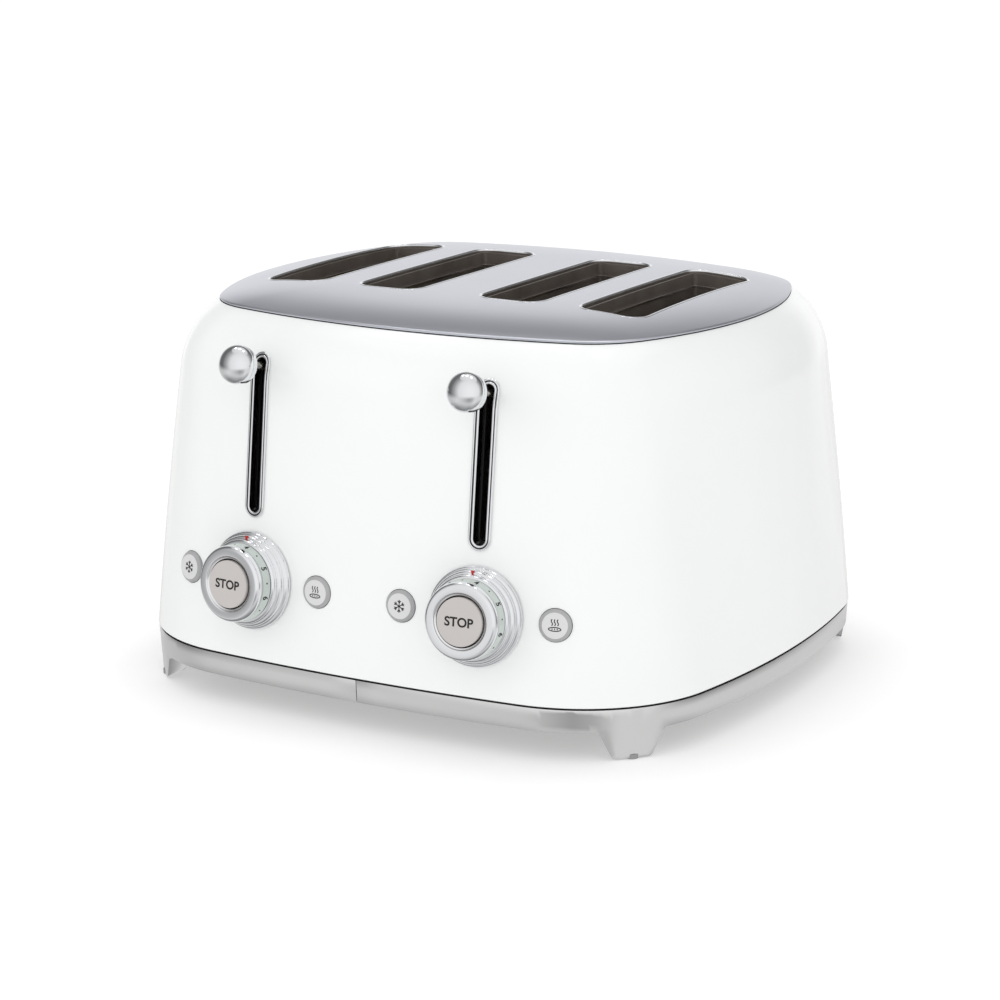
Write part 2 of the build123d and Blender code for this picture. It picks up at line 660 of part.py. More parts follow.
# ---- lever train ----
def lever_plane(x, behind=0.0):
    """Work plane across the arm, behind the knob's rim by a length of arm, facing out."""
    tilt = radians(LEVER_TILT)
    middle = (x, KNOB_Y + behind * cos(tilt), KNOB_Z - behind * sin(tilt))
    return Plane(origin=middle, x_dir=(1, 0, 0), z_dir=(0, -cos(tilt), sin(tilt)))


def carriage(label):
    """Sheet carriage on its guide rod: upright, two hubs, and the cross plate for the lifts."""
    x = SIDES[label] * CONTROL_X
    slots = side_slots(label)
    hub_top = HUB_Z + HUB_H
    beam_y = -FRAME_Y - BEAM_GAP
    with BuildPart() as body:
        add_box((x - 12, PLATE_FACE_Y, HUB_Z), (x + 12, ROD_Y - HUB_HALF, CARRIAGE_TOP))
        add_box((x - 7, ROD_Y - HUB_HALF, HUB_Z), (x + 7, beam_y - CARRIAGE_T, hub_top))
        add_box((x - 7, ROD_Y - HUB_HALF, CARRIAGE_TOP - HUB_H), (x + 7, ROD_Y + HUB_HALF, CARRIAGE_TOP))
        add_box((min(slots) - 5, beam_y - CARRIAGE_T, HUB_Z), (max(slots) + 5, beam_y, hub_top))
        add_box((x + 7, ROD_Y - 4, HUB_Z), (x + SPRING_OFF + 5, ROD_Y + 4, HUB_Z + CARRIAGE_T))
        add_rod(Plane((x, ROD_Y, HUB_Z - 1)), ROD_R + ROD_FIT, 100, mode=Mode.SUBTRACT)
    save(body, f"carriage_{label}")
    behind = (PLATE_FACE_Y - KNOB_Y) / cos(radians(LEVER_TILT))
    with BuildPart() as arm:
        add_rod(lever_plane(x, behind + 2), LEVER_R, behind + 4)
        add_rod(lever_plane(x, behind + 2), LEVER_R + 2, 4)
        add_box((x - 12, PLATE_FACE_Y, HUB_Z), (x + 12, ROD_Y, KNOB_Z), Mode.SUBTRACT)
    save(arm, f"lever_arm_{label}")
    half_turn = asin(KNOB_R / KNOB_BALL) / 2
    bend = (KNOB_BALL * sin(half_turn), KNOB_DOME - KNOB_BALL * (1 - cos(half_turn)))
    with BuildPart() as cap:
        with BuildSketch(Plane.XZ):
            with BuildLine():
                ThreePointArc((KNOB_R, 0), bend,
                              (0, KNOB_DOME))
                Polyline((0, KNOB_DOME), (0, -KNOB_SKIRT), (KNOB_R - 0.3, -KNOB_SKIRT),
                         (KNOB_R - 0.3, 0), (KNOB_R, 0))
            make_face()
        revolve(axis=Axis.Z)
        add_rod(Plane((0, 0, -KNOB_SKIRT - 1)), LEVER_R, KNOB_SKIRT + 3, mode=Mode.SUBTRACT)
    with BuildPart() as knob:
        add(cap.part.moved(lever_plane(x).location))
    save(knob, f"lever_knob_{label}")
    with BuildPart() as plate:
        low = MAGNET_TOP + ARMATURE_GAP + LEVER_TRAVEL
        add_box((x - 9, PLATE_FACE_Y - 2, low), (x + 9, PLATE_FACE_Y, low + 14))
        add_box((x - 9, PLATE_FACE_Y - 18, low), (x + 9, PLATE_FACE_Y - 2, low + 2))
    save(plate, f"armature_{label}")
    with BuildPart() as spring:
        foot = HUB_Z + CARRIAGE_T
        add_rod(Plane((x + SPRING_OFF, ROD_Y, foot)), SPRING_R, ROD_TOP - foot, bore=SPRING_R - 0.8)
    save(spring, f"return_spring_{label}")


def guide_rods():
    """Upright steel rods that the carriages slide on, from the floor pan to the front frame."""
    with BuildPart() as rods:
        for side in SIDES.values():
            add_rod(Plane((side * CONTROL_X, ROD_Y, PAN_TOP)), ROD_R, ROD_TOP - PAN_TOP)
    save(rods, "guide_rods")


def bread_lifts(label):
    """Bread lifts: a beam along each slot, on the carriage in front, with rungs for the slice."""
    back = FRAME_Y + SHEET + 3
    with BuildPart() as lifts:
        for x in side_slots(label):
            add_box((x - LIFT_T / 2, -FRAME_Y - BEAM_GAP, LIFT_Z - LIFT_H), (x + LIFT_T / 2, back, LIFT_Z))
            for rung in range(LIFT_RUNGS):
                y = (rung / (LIFT_RUNGS - 1) - 0.5) * (2 * FRAME_Y - 24)
                start = Plane((x - LIFT_HALF_W, y, LIFT_Z - 0.6), z_dir=(1, 0, 0))
                add_rod(start, 1.1, 2 * LIFT_HALF_W)
    save(lifts, f"bread_lifts_{label}")


def electromagnet(label):
    """Hold-down magnet on its post: two pole legs joined by a yoke, and the coil on one leg."""
    x = SIDES[label] * CONTROL_X
    y = PLATE_FACE_Y - MAGNET_REACH
    with BuildPart() as magnet:
        add_box((x - 9, y - 5, MAGNET_TOP - 24), (x + 9, y + 5, MAGNET_TOP - 19))
        for edge in (-1, 1):
            add_box((x + edge * 6 - 2.5, y - 4, MAGNET_TOP - 20), (x + edge * 6 + 2.5, y + 4, MAGNET_TOP))
        add_rod(Plane((x - 4, y, MAGNET_TOP - 19)), 6.5, 14)
        add_box((x - 3, y - 3, PAN_TOP), (x + 3, y + 3, MAGNET_TOP - 22))
        add_box((x - 8, y - 5, PAN_TOP), (x + 8, y + 5, PAN_TOP + 2))
    save(magnet, f"electromagnet_{label}")


# ---- controls ----
def lever_track(label):
    """Chrome trim round the lever's slot, and the dark guide plate behind the casing."""
    x = SIDES[label] * CONTROL_X
    with BuildPart() as trim:
        add(body_solid(TRACK_PROUD))
        add(body_solid(SEAT, low=SEAM_Z - 5), mode=Mode.SUBTRACT)
        add(track_blank(x, TRACK_W), mode=Mode.INTERSECT)
        with BuildPart(mode=Mode.PRIVATE) as sleeve:
            add(body_solid(TRACK_PROUD / 2))
            add(body_solid(-4.0, low=SEAM_Z - 5), mode=Mode.SUBTRACT)
            add(track_blank(x, TRACK_SLEEVE_W, TRACK_SLEEVE_W - TRACK_W), mode=Mode.INTERSECT)
        add(sleeve.part)
        add(track_blank(x, TRACK_SLOT_W, TRACK_SLOT_W - TRACK_W), mode=Mode.SUBTRACT)
    save(trim, f"lever_track_{label}")
    with BuildPart() as guide:
        add(body_solid(-4.6))
        add(body_solid(-6.4, low=SEAM_Z - 5), mode=Mode.SUBTRACT)
        add(track_blank(x, TRACK_W + 8, 8), mode=Mode.INTERSECT)
        gap = 2 * LEVER_R + 1.0
        add(track_blank(x, gap, gap - TRACK_W), mode=Mode.SUBTRACT)
    save(guide, f"lever_guide_{label}")


def dial_group(label):
    """Browning dial: stepped fixed bezel, turning dial with its numbered collar, stop button."""
    plane = face_plane(SIDES[label] * CONTROL_X, DIAL_Z)
    with BuildPart() as bezel:
        add(turned(plane, [
            (BEZEL_BORE, -7), (SPIGOT_R, -7), (SPIGOT_R, SEAT), (BEZEL_R, SEAT), (BEZEL_R, 1.2),
            (BEZEL_R - 0.8, 2.6), (BEZEL_R - 2.0, 3.0), (BEZEL_R - 2.0, 5.0),
            (BEZEL_R - 2.8, 6.0), (BEZEL_R - 3.8, 6.2), (BEZEL_R - 3.8, 8.4),
            (BEZEL_R - 4.8, BEZEL_H), (BEZEL_BORE, BEZEL_H)]))
    save(bezel, f"dial_bezel_{label}")
    collar = BEZEL_H + CLEAR
    with BuildPart() as dial:
        add(turned(plane, [
            (5.4, -12), (8.0, -12), (8.0, collar), (20.4, collar), (19.3, 14.2), (18.6, 14.4),
            (18.6, 14.9), (DIAL_R - 0.3, 15.2), (DIAL_R, 16.4), (DIAL_R - 0.5, DIAL_H - 1.0),
            (DIAL_R - 1.6, DIAL_H), (STOP_R + 1.9, DIAL_H), (STOP_R + 1.5, DIAL_H - 1.2),
            (STOP_R + CLEAR, DIAL_H - 1.2), (STOP_R + CLEAR, 14.2), (5.4, 14.2)]))
    save(dial, f"browning_dial_{label}")
    with BuildPart() as spindle:
        add(turned(plane, [(3.3, -19), (SPINDLE_R, -19), (SPINDLE_R, 12), (3.3, 12)]))
    save(spindle, f"dial_spindle_{label}")
    with BuildPart() as stop:
        add(turned(plane, [
            (0, -BOARD_DEPTH + 4.8), (3.0, -BOARD_DEPTH + 4.8), (3.0, 16.2), (STOP_R, 16.2),
            (STOP_R, DIAL_H + 0.1), (STOP_R - 0.4, DIAL_H + 0.5), (0, DIAL_H + 0.5)]))
    save(stop, f"stop_button_{label}")
    with BuildPart() as encoder:
        housing = plane.offset(-ENCODER_BACK)
        with BuildSketch(housing):
            RectangleRounded(ENCODER_W, ENCODER_W, 2)
            Circle(SPINDLE_R + 0.05, mode=Mode.SUBTRACT)
        extrude(amount=5)
        for u in (-1, 1):
            for v in (-1, 1):
                leg = Plane(housing.location * Location((u * 10, v * 10, ENCODER_BACK - BOARD_DEPTH)))
                add_rod(leg, 1.0, BOARD_DEPTH - ENCODER_BACK)
    save(encoder, f"dial_encoder_{label}")
    with BuildPart() as board:
        with BuildSketch(plane.offset(-BOARD_DEPTH - BOARD_T)):
            RectangleRounded(BOARD_LEN, BOARD_H, 2)
        extrude(amount=BOARD_T)
        with BuildSketch(plane.offset(-BOARD_DEPTH - 0.1)):
            Rectangle(6, 6)
        extrude(amount=3.2)
        for shift in (-BUTTON_PITCH, BUTTON_PITCH):
            switch = face_plane(SIDES[label] * CONTROL_X + shift, DIAL_Z)
            with BuildSketch(switch.offset(-34)):
                Rectangle(7, 7)
            extrude(amount=21)
    save(board, f"control_board_{label}")


def push_button(label, name, shift):
    """Round push button with a bevelled edge, a keeper flange behind the casing and a stem."""
    plane = face_plane(SIDES[label] * CONTROL_X + shift, DIAL_Z)
    with BuildPart() as button:
        add(turned(plane, [
            (0, -11.2), (2.5, -11.2), (2.5, -4.4), (BUTTON_R + 1.4, -4.4), (BUTTON_R + 1.4, -2.8),
            (BUTTON_R, -2.8), (BUTTON_R, 0.6), (BUTTON_FACE_R, BUTTON_PROUD), (0, BUTTON_PROUD)]))
    save(button, f"{name}_button_{label}")


def main():
    """Make every sub-part."""
    body_shell()
    top_plate()
    slot_liners()
    plinth()
    base_pan()
    cord_gear()
    end_frame("front", -1)
    end_frame("rear", 1)
    side_shields()
    guide_rods()
    for label in SIDES:
        crumb_tray(label)
        heater_cards(label)
        bread_guards(label, -1, "a")
        bread_guards(label, 1, "b")
        carriage(label)
        bread_lifts(label)
        electromagnet(label)
        lever_track(label)
        dial_group(label)
        push_button(label, "defrost", -BUTTON_PITCH)
        push_button(label, "warming", BUTTON_PITCH)


main()
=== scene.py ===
"""Four-slot pop-up toaster: the finished look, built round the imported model.

Lengths in the classes are millimetres, drawn about the middle of the casing; Model.place turns
them into metres in the row's frame. X runs to the right, Y to the back, Z up.
"""

import json
import logging
import math
from dataclasses import dataclass, field
from enum import Enum

import bmesh
import bpy
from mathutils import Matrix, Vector

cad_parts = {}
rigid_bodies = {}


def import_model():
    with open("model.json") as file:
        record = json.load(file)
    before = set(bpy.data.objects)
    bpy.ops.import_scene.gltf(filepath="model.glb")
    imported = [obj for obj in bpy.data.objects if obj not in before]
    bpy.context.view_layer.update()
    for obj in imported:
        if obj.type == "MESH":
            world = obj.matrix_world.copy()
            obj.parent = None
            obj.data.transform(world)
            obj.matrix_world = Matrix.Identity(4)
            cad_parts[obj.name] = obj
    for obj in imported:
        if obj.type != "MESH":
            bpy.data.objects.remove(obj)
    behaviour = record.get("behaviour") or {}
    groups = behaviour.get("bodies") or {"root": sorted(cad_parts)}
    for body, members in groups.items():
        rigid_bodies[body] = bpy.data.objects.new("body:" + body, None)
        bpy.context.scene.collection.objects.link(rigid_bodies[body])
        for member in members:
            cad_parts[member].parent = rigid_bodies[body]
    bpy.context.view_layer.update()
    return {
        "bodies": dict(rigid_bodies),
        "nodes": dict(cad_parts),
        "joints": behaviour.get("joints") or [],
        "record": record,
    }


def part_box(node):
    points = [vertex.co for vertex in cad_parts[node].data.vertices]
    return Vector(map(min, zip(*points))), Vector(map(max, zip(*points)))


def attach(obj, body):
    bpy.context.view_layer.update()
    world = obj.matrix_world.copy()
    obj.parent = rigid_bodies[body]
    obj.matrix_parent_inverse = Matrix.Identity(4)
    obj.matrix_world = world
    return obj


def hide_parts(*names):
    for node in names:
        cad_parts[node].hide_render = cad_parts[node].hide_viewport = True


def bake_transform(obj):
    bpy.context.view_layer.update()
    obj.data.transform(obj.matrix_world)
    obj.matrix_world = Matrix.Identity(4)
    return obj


LOG = logging.getLogger("toaster")
MM = 0.001
TINY = 1e-6              # shorter lengths count as nothing
FROM_WORKTOP = 1000.0    # taken off a section's height where it is measured from the worktop
SIDES = (("left", -1), ("right", 1))
Point = tuple[float, float, float]
Plan = list[tuple[float, float]]
Piece = bpy.types.Object
Tree = bpy.types.NodeTree


# ---------------------------------------------------------------- nodes and colours
def linear(code: str) -> tuple[float, float, float, float]:
    """Turn an sRGB hex colour into linear RGBA.

    Args:
        code: six hex digits, such as "f2f4f3".

    Returns:
        The linear colour with an alpha of one.
    """
    parts = [int(code[i:i + 2], 16) / 255 for i in (0, 2, 4)]
    flat = [p / 12.92 if p <= 0.04045 else ((p + 0.055) / 1.055) ** 2.4 for p in parts]
    return flat[0], flat[1], flat[2], 1.0


def add_node(tree: Tree, kind: str, inputs: dict | None = None, **settings) -> bpy.types.Node:
    """Add one node with its settings, values and links.

    Args:
        tree: the shader or geometry tree.
        kind: the node's type name.
        inputs: socket name or number to a value, or to the output socket it is linked from.
        **settings: the node's own properties.

    Returns:
        The new node.
    """
    node = tree.nodes.new(kind)
    for key, value in settings.items():
        setattr(node, key, value)
    for key, value in (inputs or {}).items():
        if isinstance(value, bpy.types.NodeSocket):
            tree.links.new(value, node.inputs[key])
        else:
            node.inputs[key].default_value = value
    return node


def maths(tree: Tree, operation: str, *values) -> bpy.types.NodeSocket:
    """Add one math node over numbers or sockets, in order, and return its output."""
    return add_node(tree, "ShaderNodeMath", dict(enumerate(values)), operation=operation).outputs[0]


def link(body: Piece) -> Piece:
    """Put a new object into the scene and hand it back."""
    bpy.context.scene.collection.objects.link(body)
    return body


# ---------------------------------------------------------------- finishes
@dataclass(frozen=True)
class Finish:
    """One surface finish: colour, gloss and the fine texture that the process leaves.

    Attributes:
        name: the material's name, after the real material.
        colour: sRGB hex of the clean surface.
        shade: sRGB hex of its darker variation.
        metallic: 1 for bare or plated metal.
        roughness: mean roughness.
        spread: how far the roughness varies, each way.
        grain_mm: size of the surface's texture.
        stretch: how much longer the grain is than it is wide, for X, Y and Z.
        bump_mm: depth of the texture.
        coat: clear coat weight, for enamel and lacquer.
        mottle_mm: size of the slow colour variation.
        glow: light that it gives off, for a sheet lit from below.
    """

    name: str
    colour: str
    shade: str
    metallic: float = 0.0
    roughness: float = 0.4
    spread: float = 0.05
    grain_mm: float = 0.6
    stretch: Point = (1.0, 1.0, 1.0)
    bump_mm: float = 0.004
    coat: float = 0.0
    mottle_mm: float = 40.0
    glow: float = 0.0

    def material(self) -> bpy.types.Material:
        """Build the material, or return it if it is there already."""
        ready = bpy.data.materials.get(self.name)
        if ready:
            return ready
        made = bpy.data.materials.new(self.name)
        made.use_nodes = True
        tree = made.node_tree
        tree.nodes.clear()
        coords = add_node(tree, "ShaderNodeTexCoord").outputs["Object"]
        scale = [1 / (self.grain_mm * MM * part) for part in self.stretch]
        fine = add_node(tree, "ShaderNodeMapping", {"Vector": coords, "Scale": scale})
        grain = add_node(tree, "ShaderNodeTexNoise",
                         {"Vector": fine.outputs[0], "Scale": 1.0, "Detail": 3.0, "Roughness": 0.6})
        slow = add_node(tree, "ShaderNodeTexNoise",
                        {"Vector": coords, "Scale": 1 / (self.mottle_mm * MM), "Detail": 2.0})
        rough = add_node(tree, "ShaderNodeMapRange", {
            "Value": grain.outputs[0], "From Min": 0.25, "From Max": 0.75,
            "To Min": max(0.0, self.roughness - self.spread),
            "To Max": self.roughness + self.spread})
        tone = add_node(tree, "ShaderNodeMix", data_type="RGBA")
        tree.links.new(slow.outputs[0], tone.inputs["Factor"])
        tone.inputs[6].default_value = linear(self.colour)
        tone.inputs[7].default_value = linear(self.shade)
        bump = add_node(tree, "ShaderNodeBump", {
            "Height": grain.outputs[0], "Strength": 1.0, "Distance": self.bump_mm * MM})
        shader = add_node(tree, "ShaderNodeBsdfPrincipled", {
            "Base Color": tone.outputs[2], "Roughness": rough.outputs[0],
            "Metallic": self.metallic, "Normal": bump.outputs[0],
            "Coat Weight": self.coat, "Coat Roughness": 0.04,
            "Emission Color": (1.0, 1.0, 1.0, 1.0), "Emission Strength": self.glow})
        add_node(tree, "ShaderNodeOutputMaterial", {"Surface": shader.outputs[0]})
        return made


class Finishes(Enum):
    """Every finish on the toaster, named for the real material."""

    # Gloss stove enamel on steel: deep wet gloss, hardly any texture.
    ENAMEL = Finish("stove_enamel_white", "f6f8f7", "f4f6f5", roughness=0.16, spread=0.03,
                    grain_mm=5.0, bump_mm=0.006, coat=0.6)
    # Satin stainless plate, brushed from side to side: soft streaky sheen.
    PLATE = Finish("stainless_brushed_plate", "dcdee6", "d6d8e0", 1.0, 0.3, 0.02,
                   0.5, (60.0, 1.0, 1.0), 0.0012)
    # Polished rolled lips of the slots: a bright clean line.
    LIP = Finish("stainless_polished_lip", "eceef0", "e2e4e8", 1.0, 0.16, 0.04, 0.8)
    # Bright chrome plate on zinc castings: mirror with a faint orange peel.
    CHROME = Finish("chrome_plate_bright", "ecedef", "e6e7ea", 1.0, 0.05, 0.02, 3.0,
                    bump_mm=0.0015)
    # Satin chrome on the plinth: a blurred mirror.
    PLINTH = Finish("chrome_plate_satin", "e6e5e5", "dfdede", 1.0, 0.16, 0.03, 1.2,
                    bump_mm=0.0015)
    # Grey silicone rubber of the foot pads.
    PAD = Finish("silicone_rubber_grey", "9a9a9b", "929294", roughness=0.6, grain_mm=0.8,
                 bump_mm=0.01)
    # Moulded heat-resistant plastic, black: fine spark texture. The same black also lines the
    # grooves of the lever trim, the knob and the dial as painted shade.
    BLACK = Finish("moulded_phenolic_black", "101011", "161617", roughness=0.55,
                   grain_mm=0.4, bump_mm=0.02)
    # Black rubber seals under the plate and above the plinth: real seals, and their black also
    # stands for the shade in those gaps (painted shade).
    RUBBER = Finish("nitrile_rubber_black", "0c0c0c", "141414", roughness=0.7,
                    grain_mm=0.8, bump_mm=0.02)
    # Light grey plastic of the push buttons, satin.
    BUTTON = Finish("abs_satin_light_grey", "dcdcdc", "d5d5d6", roughness=0.3,
                    grain_mm=0.5, coat=0.1)
    # The buttons' sloped edge: the same plastic as the face, coloured darker as painted shade.
    BUTTON_EDGE = Finish("abs_satin_mid_grey", "aeaeaf", "a6a6a8", roughness=0.3,
                         grain_mm=0.5, coat=0.1)
    # Warm grey plastic of the stop discs.
    STOP = Finish("abs_satin_warm_grey", "c6c1be", "c1bcb9", roughness=0.32,
                  grain_mm=0.5)
    # Pale green-grey lacquer of the numbered collar.
    COLLAR = Finish("lacquer_pale_grey_green", "cbd3cf", "c3ccc7", roughness=0.3,
                    grain_mm=0.8, bump_mm=0.003, coat=0.3)
    # Printed marks.
    INK = Finish("pad_print_black", "131313", "1b1b1b", roughness=0.5, grain_mm=0.3)
    RED = Finish("pad_print_red", "c22019", "b01812", roughness=0.45, grain_mm=0.3)
    # Heat-darkened steel sheet of the chutes and the chamber.
    SCORCHED = Finish("steel_sheet_heat_darkened", "a9a099", "7d756f", 0.8, 0.38, 0.1,
                      1.5, bump_mm=0.01, mottle_mm=18.0)
    # Galvanised sheet and wire inside.
    SHEET = Finish("steel_sheet_galvanised", "b4b4b0", "8f8f8c", 0.9, 0.35, 0.1,
                   2.5, bump_mm=0.006, mottle_mm=9.0)
    # Bright drawn wire of guards, lifts and springs.
    WIRE = Finish("steel_wire_bright", "d8d5cf", "b8b4ad", 1.0, 0.22, 0.08, 0.8)
    # Mica heater cards.
    MICA = Finish("mica_board", "8f7a5c", "6f5d45", roughness=0.5, spread=0.12,
                  grain_mm=1.5, bump_mm=0.02, mottle_mm=6.0)
    # Nickel-chrome heater ribbon, oxidised grey.
    RIBBON = Finish("nichrome_ribbon", "8b8580", "5e5853", 1.0, 0.4, 0.1, 0.6)
    # Green laminate of the boards.
    LAMINATE = Finish("fr4_laminate_green", "1f5a33", "194a2a", roughness=0.35, grain_mm=0.7)
    # Opal acrylic sheet under the toaster, lit a little from below.
    OPAL = Finish("opal_acrylic_lit_from_below", "d3d3d3", "d3d3d3", roughness=0.9, grain_mm=1.0,
                  glow=0.38)


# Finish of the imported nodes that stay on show, by the start of their names.
CARRIED = {
    # The black seals fill the shaded gaps: painted shade.
    Finishes.RUBBER: ("plate_seal", "plinth_gasket"),
    Finishes.PAD: ("foot_pads",),
    Finishes.SCORCHED: ("front_frame", "rear_frame", "side_shields"),
    Finishes.SHEET: ("base_pan", "carriage", "electromagnet"),
    Finishes.WIRE: ("pan_screws", "guide_rods", "bread_guards", "bread_lifts", "lever_arm",
                    "armature", "dial_spindle"),
    Finishes.BLACK: ("lever_guide", "dial_encoder"),
    Finishes.MICA: ("heater_cards",),
    Finishes.LAMINATE: ("control_board",),
}


# ---------------------------------------------------------------- the casing's form
@dataclass
class Form:
    """The casing's outer form as formulas, in millimetres about its own middle."""

    half_w: float = 170.5
    half_d: float = 156.8
    seam: float = 28.0
    rim: float = 203.0
    draft_x: float = 1.54
    draft_y: float = 4.9
    shoulder: float = 39.2
    shoulder_end: float = 60.3
    front_bulge: float = 1033.0
    side_bulge: float = 519.0
    corner: float = 78.0
    rim_front_bulge: float = 380.0
    rim_side_bulge: float = 200.0
    rim_corner: float = 46.0

    def level(self, z: float, grow: float = 0.0) -> tuple[float, float, float, float, float, float]:
        """Half width, half depth, plan radii (front, side, corner) and mean lean at height z."""
        insets, leans = [], []
        for draft in (math.radians(self.draft_x), math.radians(self.draft_y)):
            end = math.sin(math.radians(self.shoulder_end))
            turn = self.rim - self.shoulder * (end - math.sin(draft))
            if z <= turn:
                insets.append(math.tan(draft) * (z - self.seam))
                leans.append(draft)
            else:
                lean = math.asin(min(0.999, (z - turn) / self.shoulder + math.sin(draft)))
                insets.append(math.tan(draft) * (turn - self.seam)
                              + self.shoulder * (math.cos(draft) - math.cos(lean)))
                leans.append(lean)
        t = max(0.0, (z - self.seam) / (self.rim - self.seam))
        front = 1 / ((1 - t) / self.front_bulge + t / self.rim_front_bulge)
        side = 1 / ((1 - t) / self.side_bulge + t / self.rim_side_bulge)
        corner = self.corner + (self.rim_corner - self.corner) * t
        return (self.half_w - insets[0] + grow * math.cos(leans[0]),
                self.half_d - insets[1] + grow * math.cos(leans[1]),
                front + grow, side + grow, corner + grow, sum(leans) / 2)

    @staticmethod
    def corner_centre(w: float, d: float, front: float, side: float,
                      corner: float) -> tuple[float, float]:
        """Centre of the corner arc that touches the front arc and the side arc inside."""
        py, qx = d - front, w - side
        gap = math.hypot(qx, py)
        ux, uy = qx / gap, -py / gap
        along = ((front - corner) ** 2 - (side - corner) ** 2 + gap ** 2) / (2 * gap)
        off = math.sqrt(max((front - corner) ** 2 - along ** 2, 0.0))
        return along * ux + off * uy, py + along * uy - off * ux

    def face_y(self, x: float, z: float, grow: float = 0.0) -> float:
        """Y of the front face at x and z."""
        w, d, front, side, corner, _ = self.level(z, grow)
        cx, cy = self.corner_centre(w, d, front, side, corner)
        if abs(x) <= cx * front / (front - corner):
            return -(d - front + math.sqrt(front ** 2 - x ** 2))
        return -(cy + math.sqrt(max(corner ** 2 - (abs(x) - cx) ** 2, 0.0)))

    def normal(self, x: float, z: float) -> Vector:
        """Outward normal of the front face at x and z."""
        step = 0.5
        slope_x = (self.face_y(x + step, z) - self.face_y(x - step, z)) / (2 * step)
        slope_z = (self.face_y(x, z + step) - self.face_y(x, z - step)) / (2 * step)
        return Vector((slope_x, -1.0, slope_z)).normalized()

    def outline(self, z: float, grow: float = 0.0,
                spans: tuple[int, int, int] = (28, 22, 22)) -> Plan:
        """Plan outline at height z, anticlockwise from the middle of the right side.

        Args:
            z: height on the casing.
            grow: distance outwards, along the form's normal.
            spans: points along half a side arc, a corner arc and half a front arc.

        Returns:
            Points about the middle, the same number at every height.
        """
        w, d, front, side, corner, _ = self.level(z, grow)
        cx, cy = self.corner_centre(w, d, front, side, corner)
        side_turn = math.atan2(cy, cx - (w - side))
        front_turn = math.atan2(cx, cy - (d - front))
        quarter = []
        for i in range(spans[0]):
            a = side_turn * i / spans[0]
            quarter.append((w - side + side * math.cos(a), side * math.sin(a)))
        for i in range(spans[1]):
            a = side_turn + (math.pi / 2 - front_turn - side_turn) * i / spans[1]
            quarter.append((cx + corner * math.cos(a), cy + corner * math.sin(a)))
        for i in range(spans[2]):
            a = front_turn * (1 - i / spans[2])
            quarter.append((front * math.sin(a), d - front + front * math.cos(a)))
        top = (0.0, d)
        right = quarter[0]
        ring = quarter + [top] + [(-x, y) for x, y in reversed(quarter[1:])]
        ring += [(-right[0], 0.0)] + [(-x, -y) for x, y in quarter[1:]]
        ring += [(0.0, -d)] + [(x, -y) for x, y in reversed(quarter[1:])]
        return ring


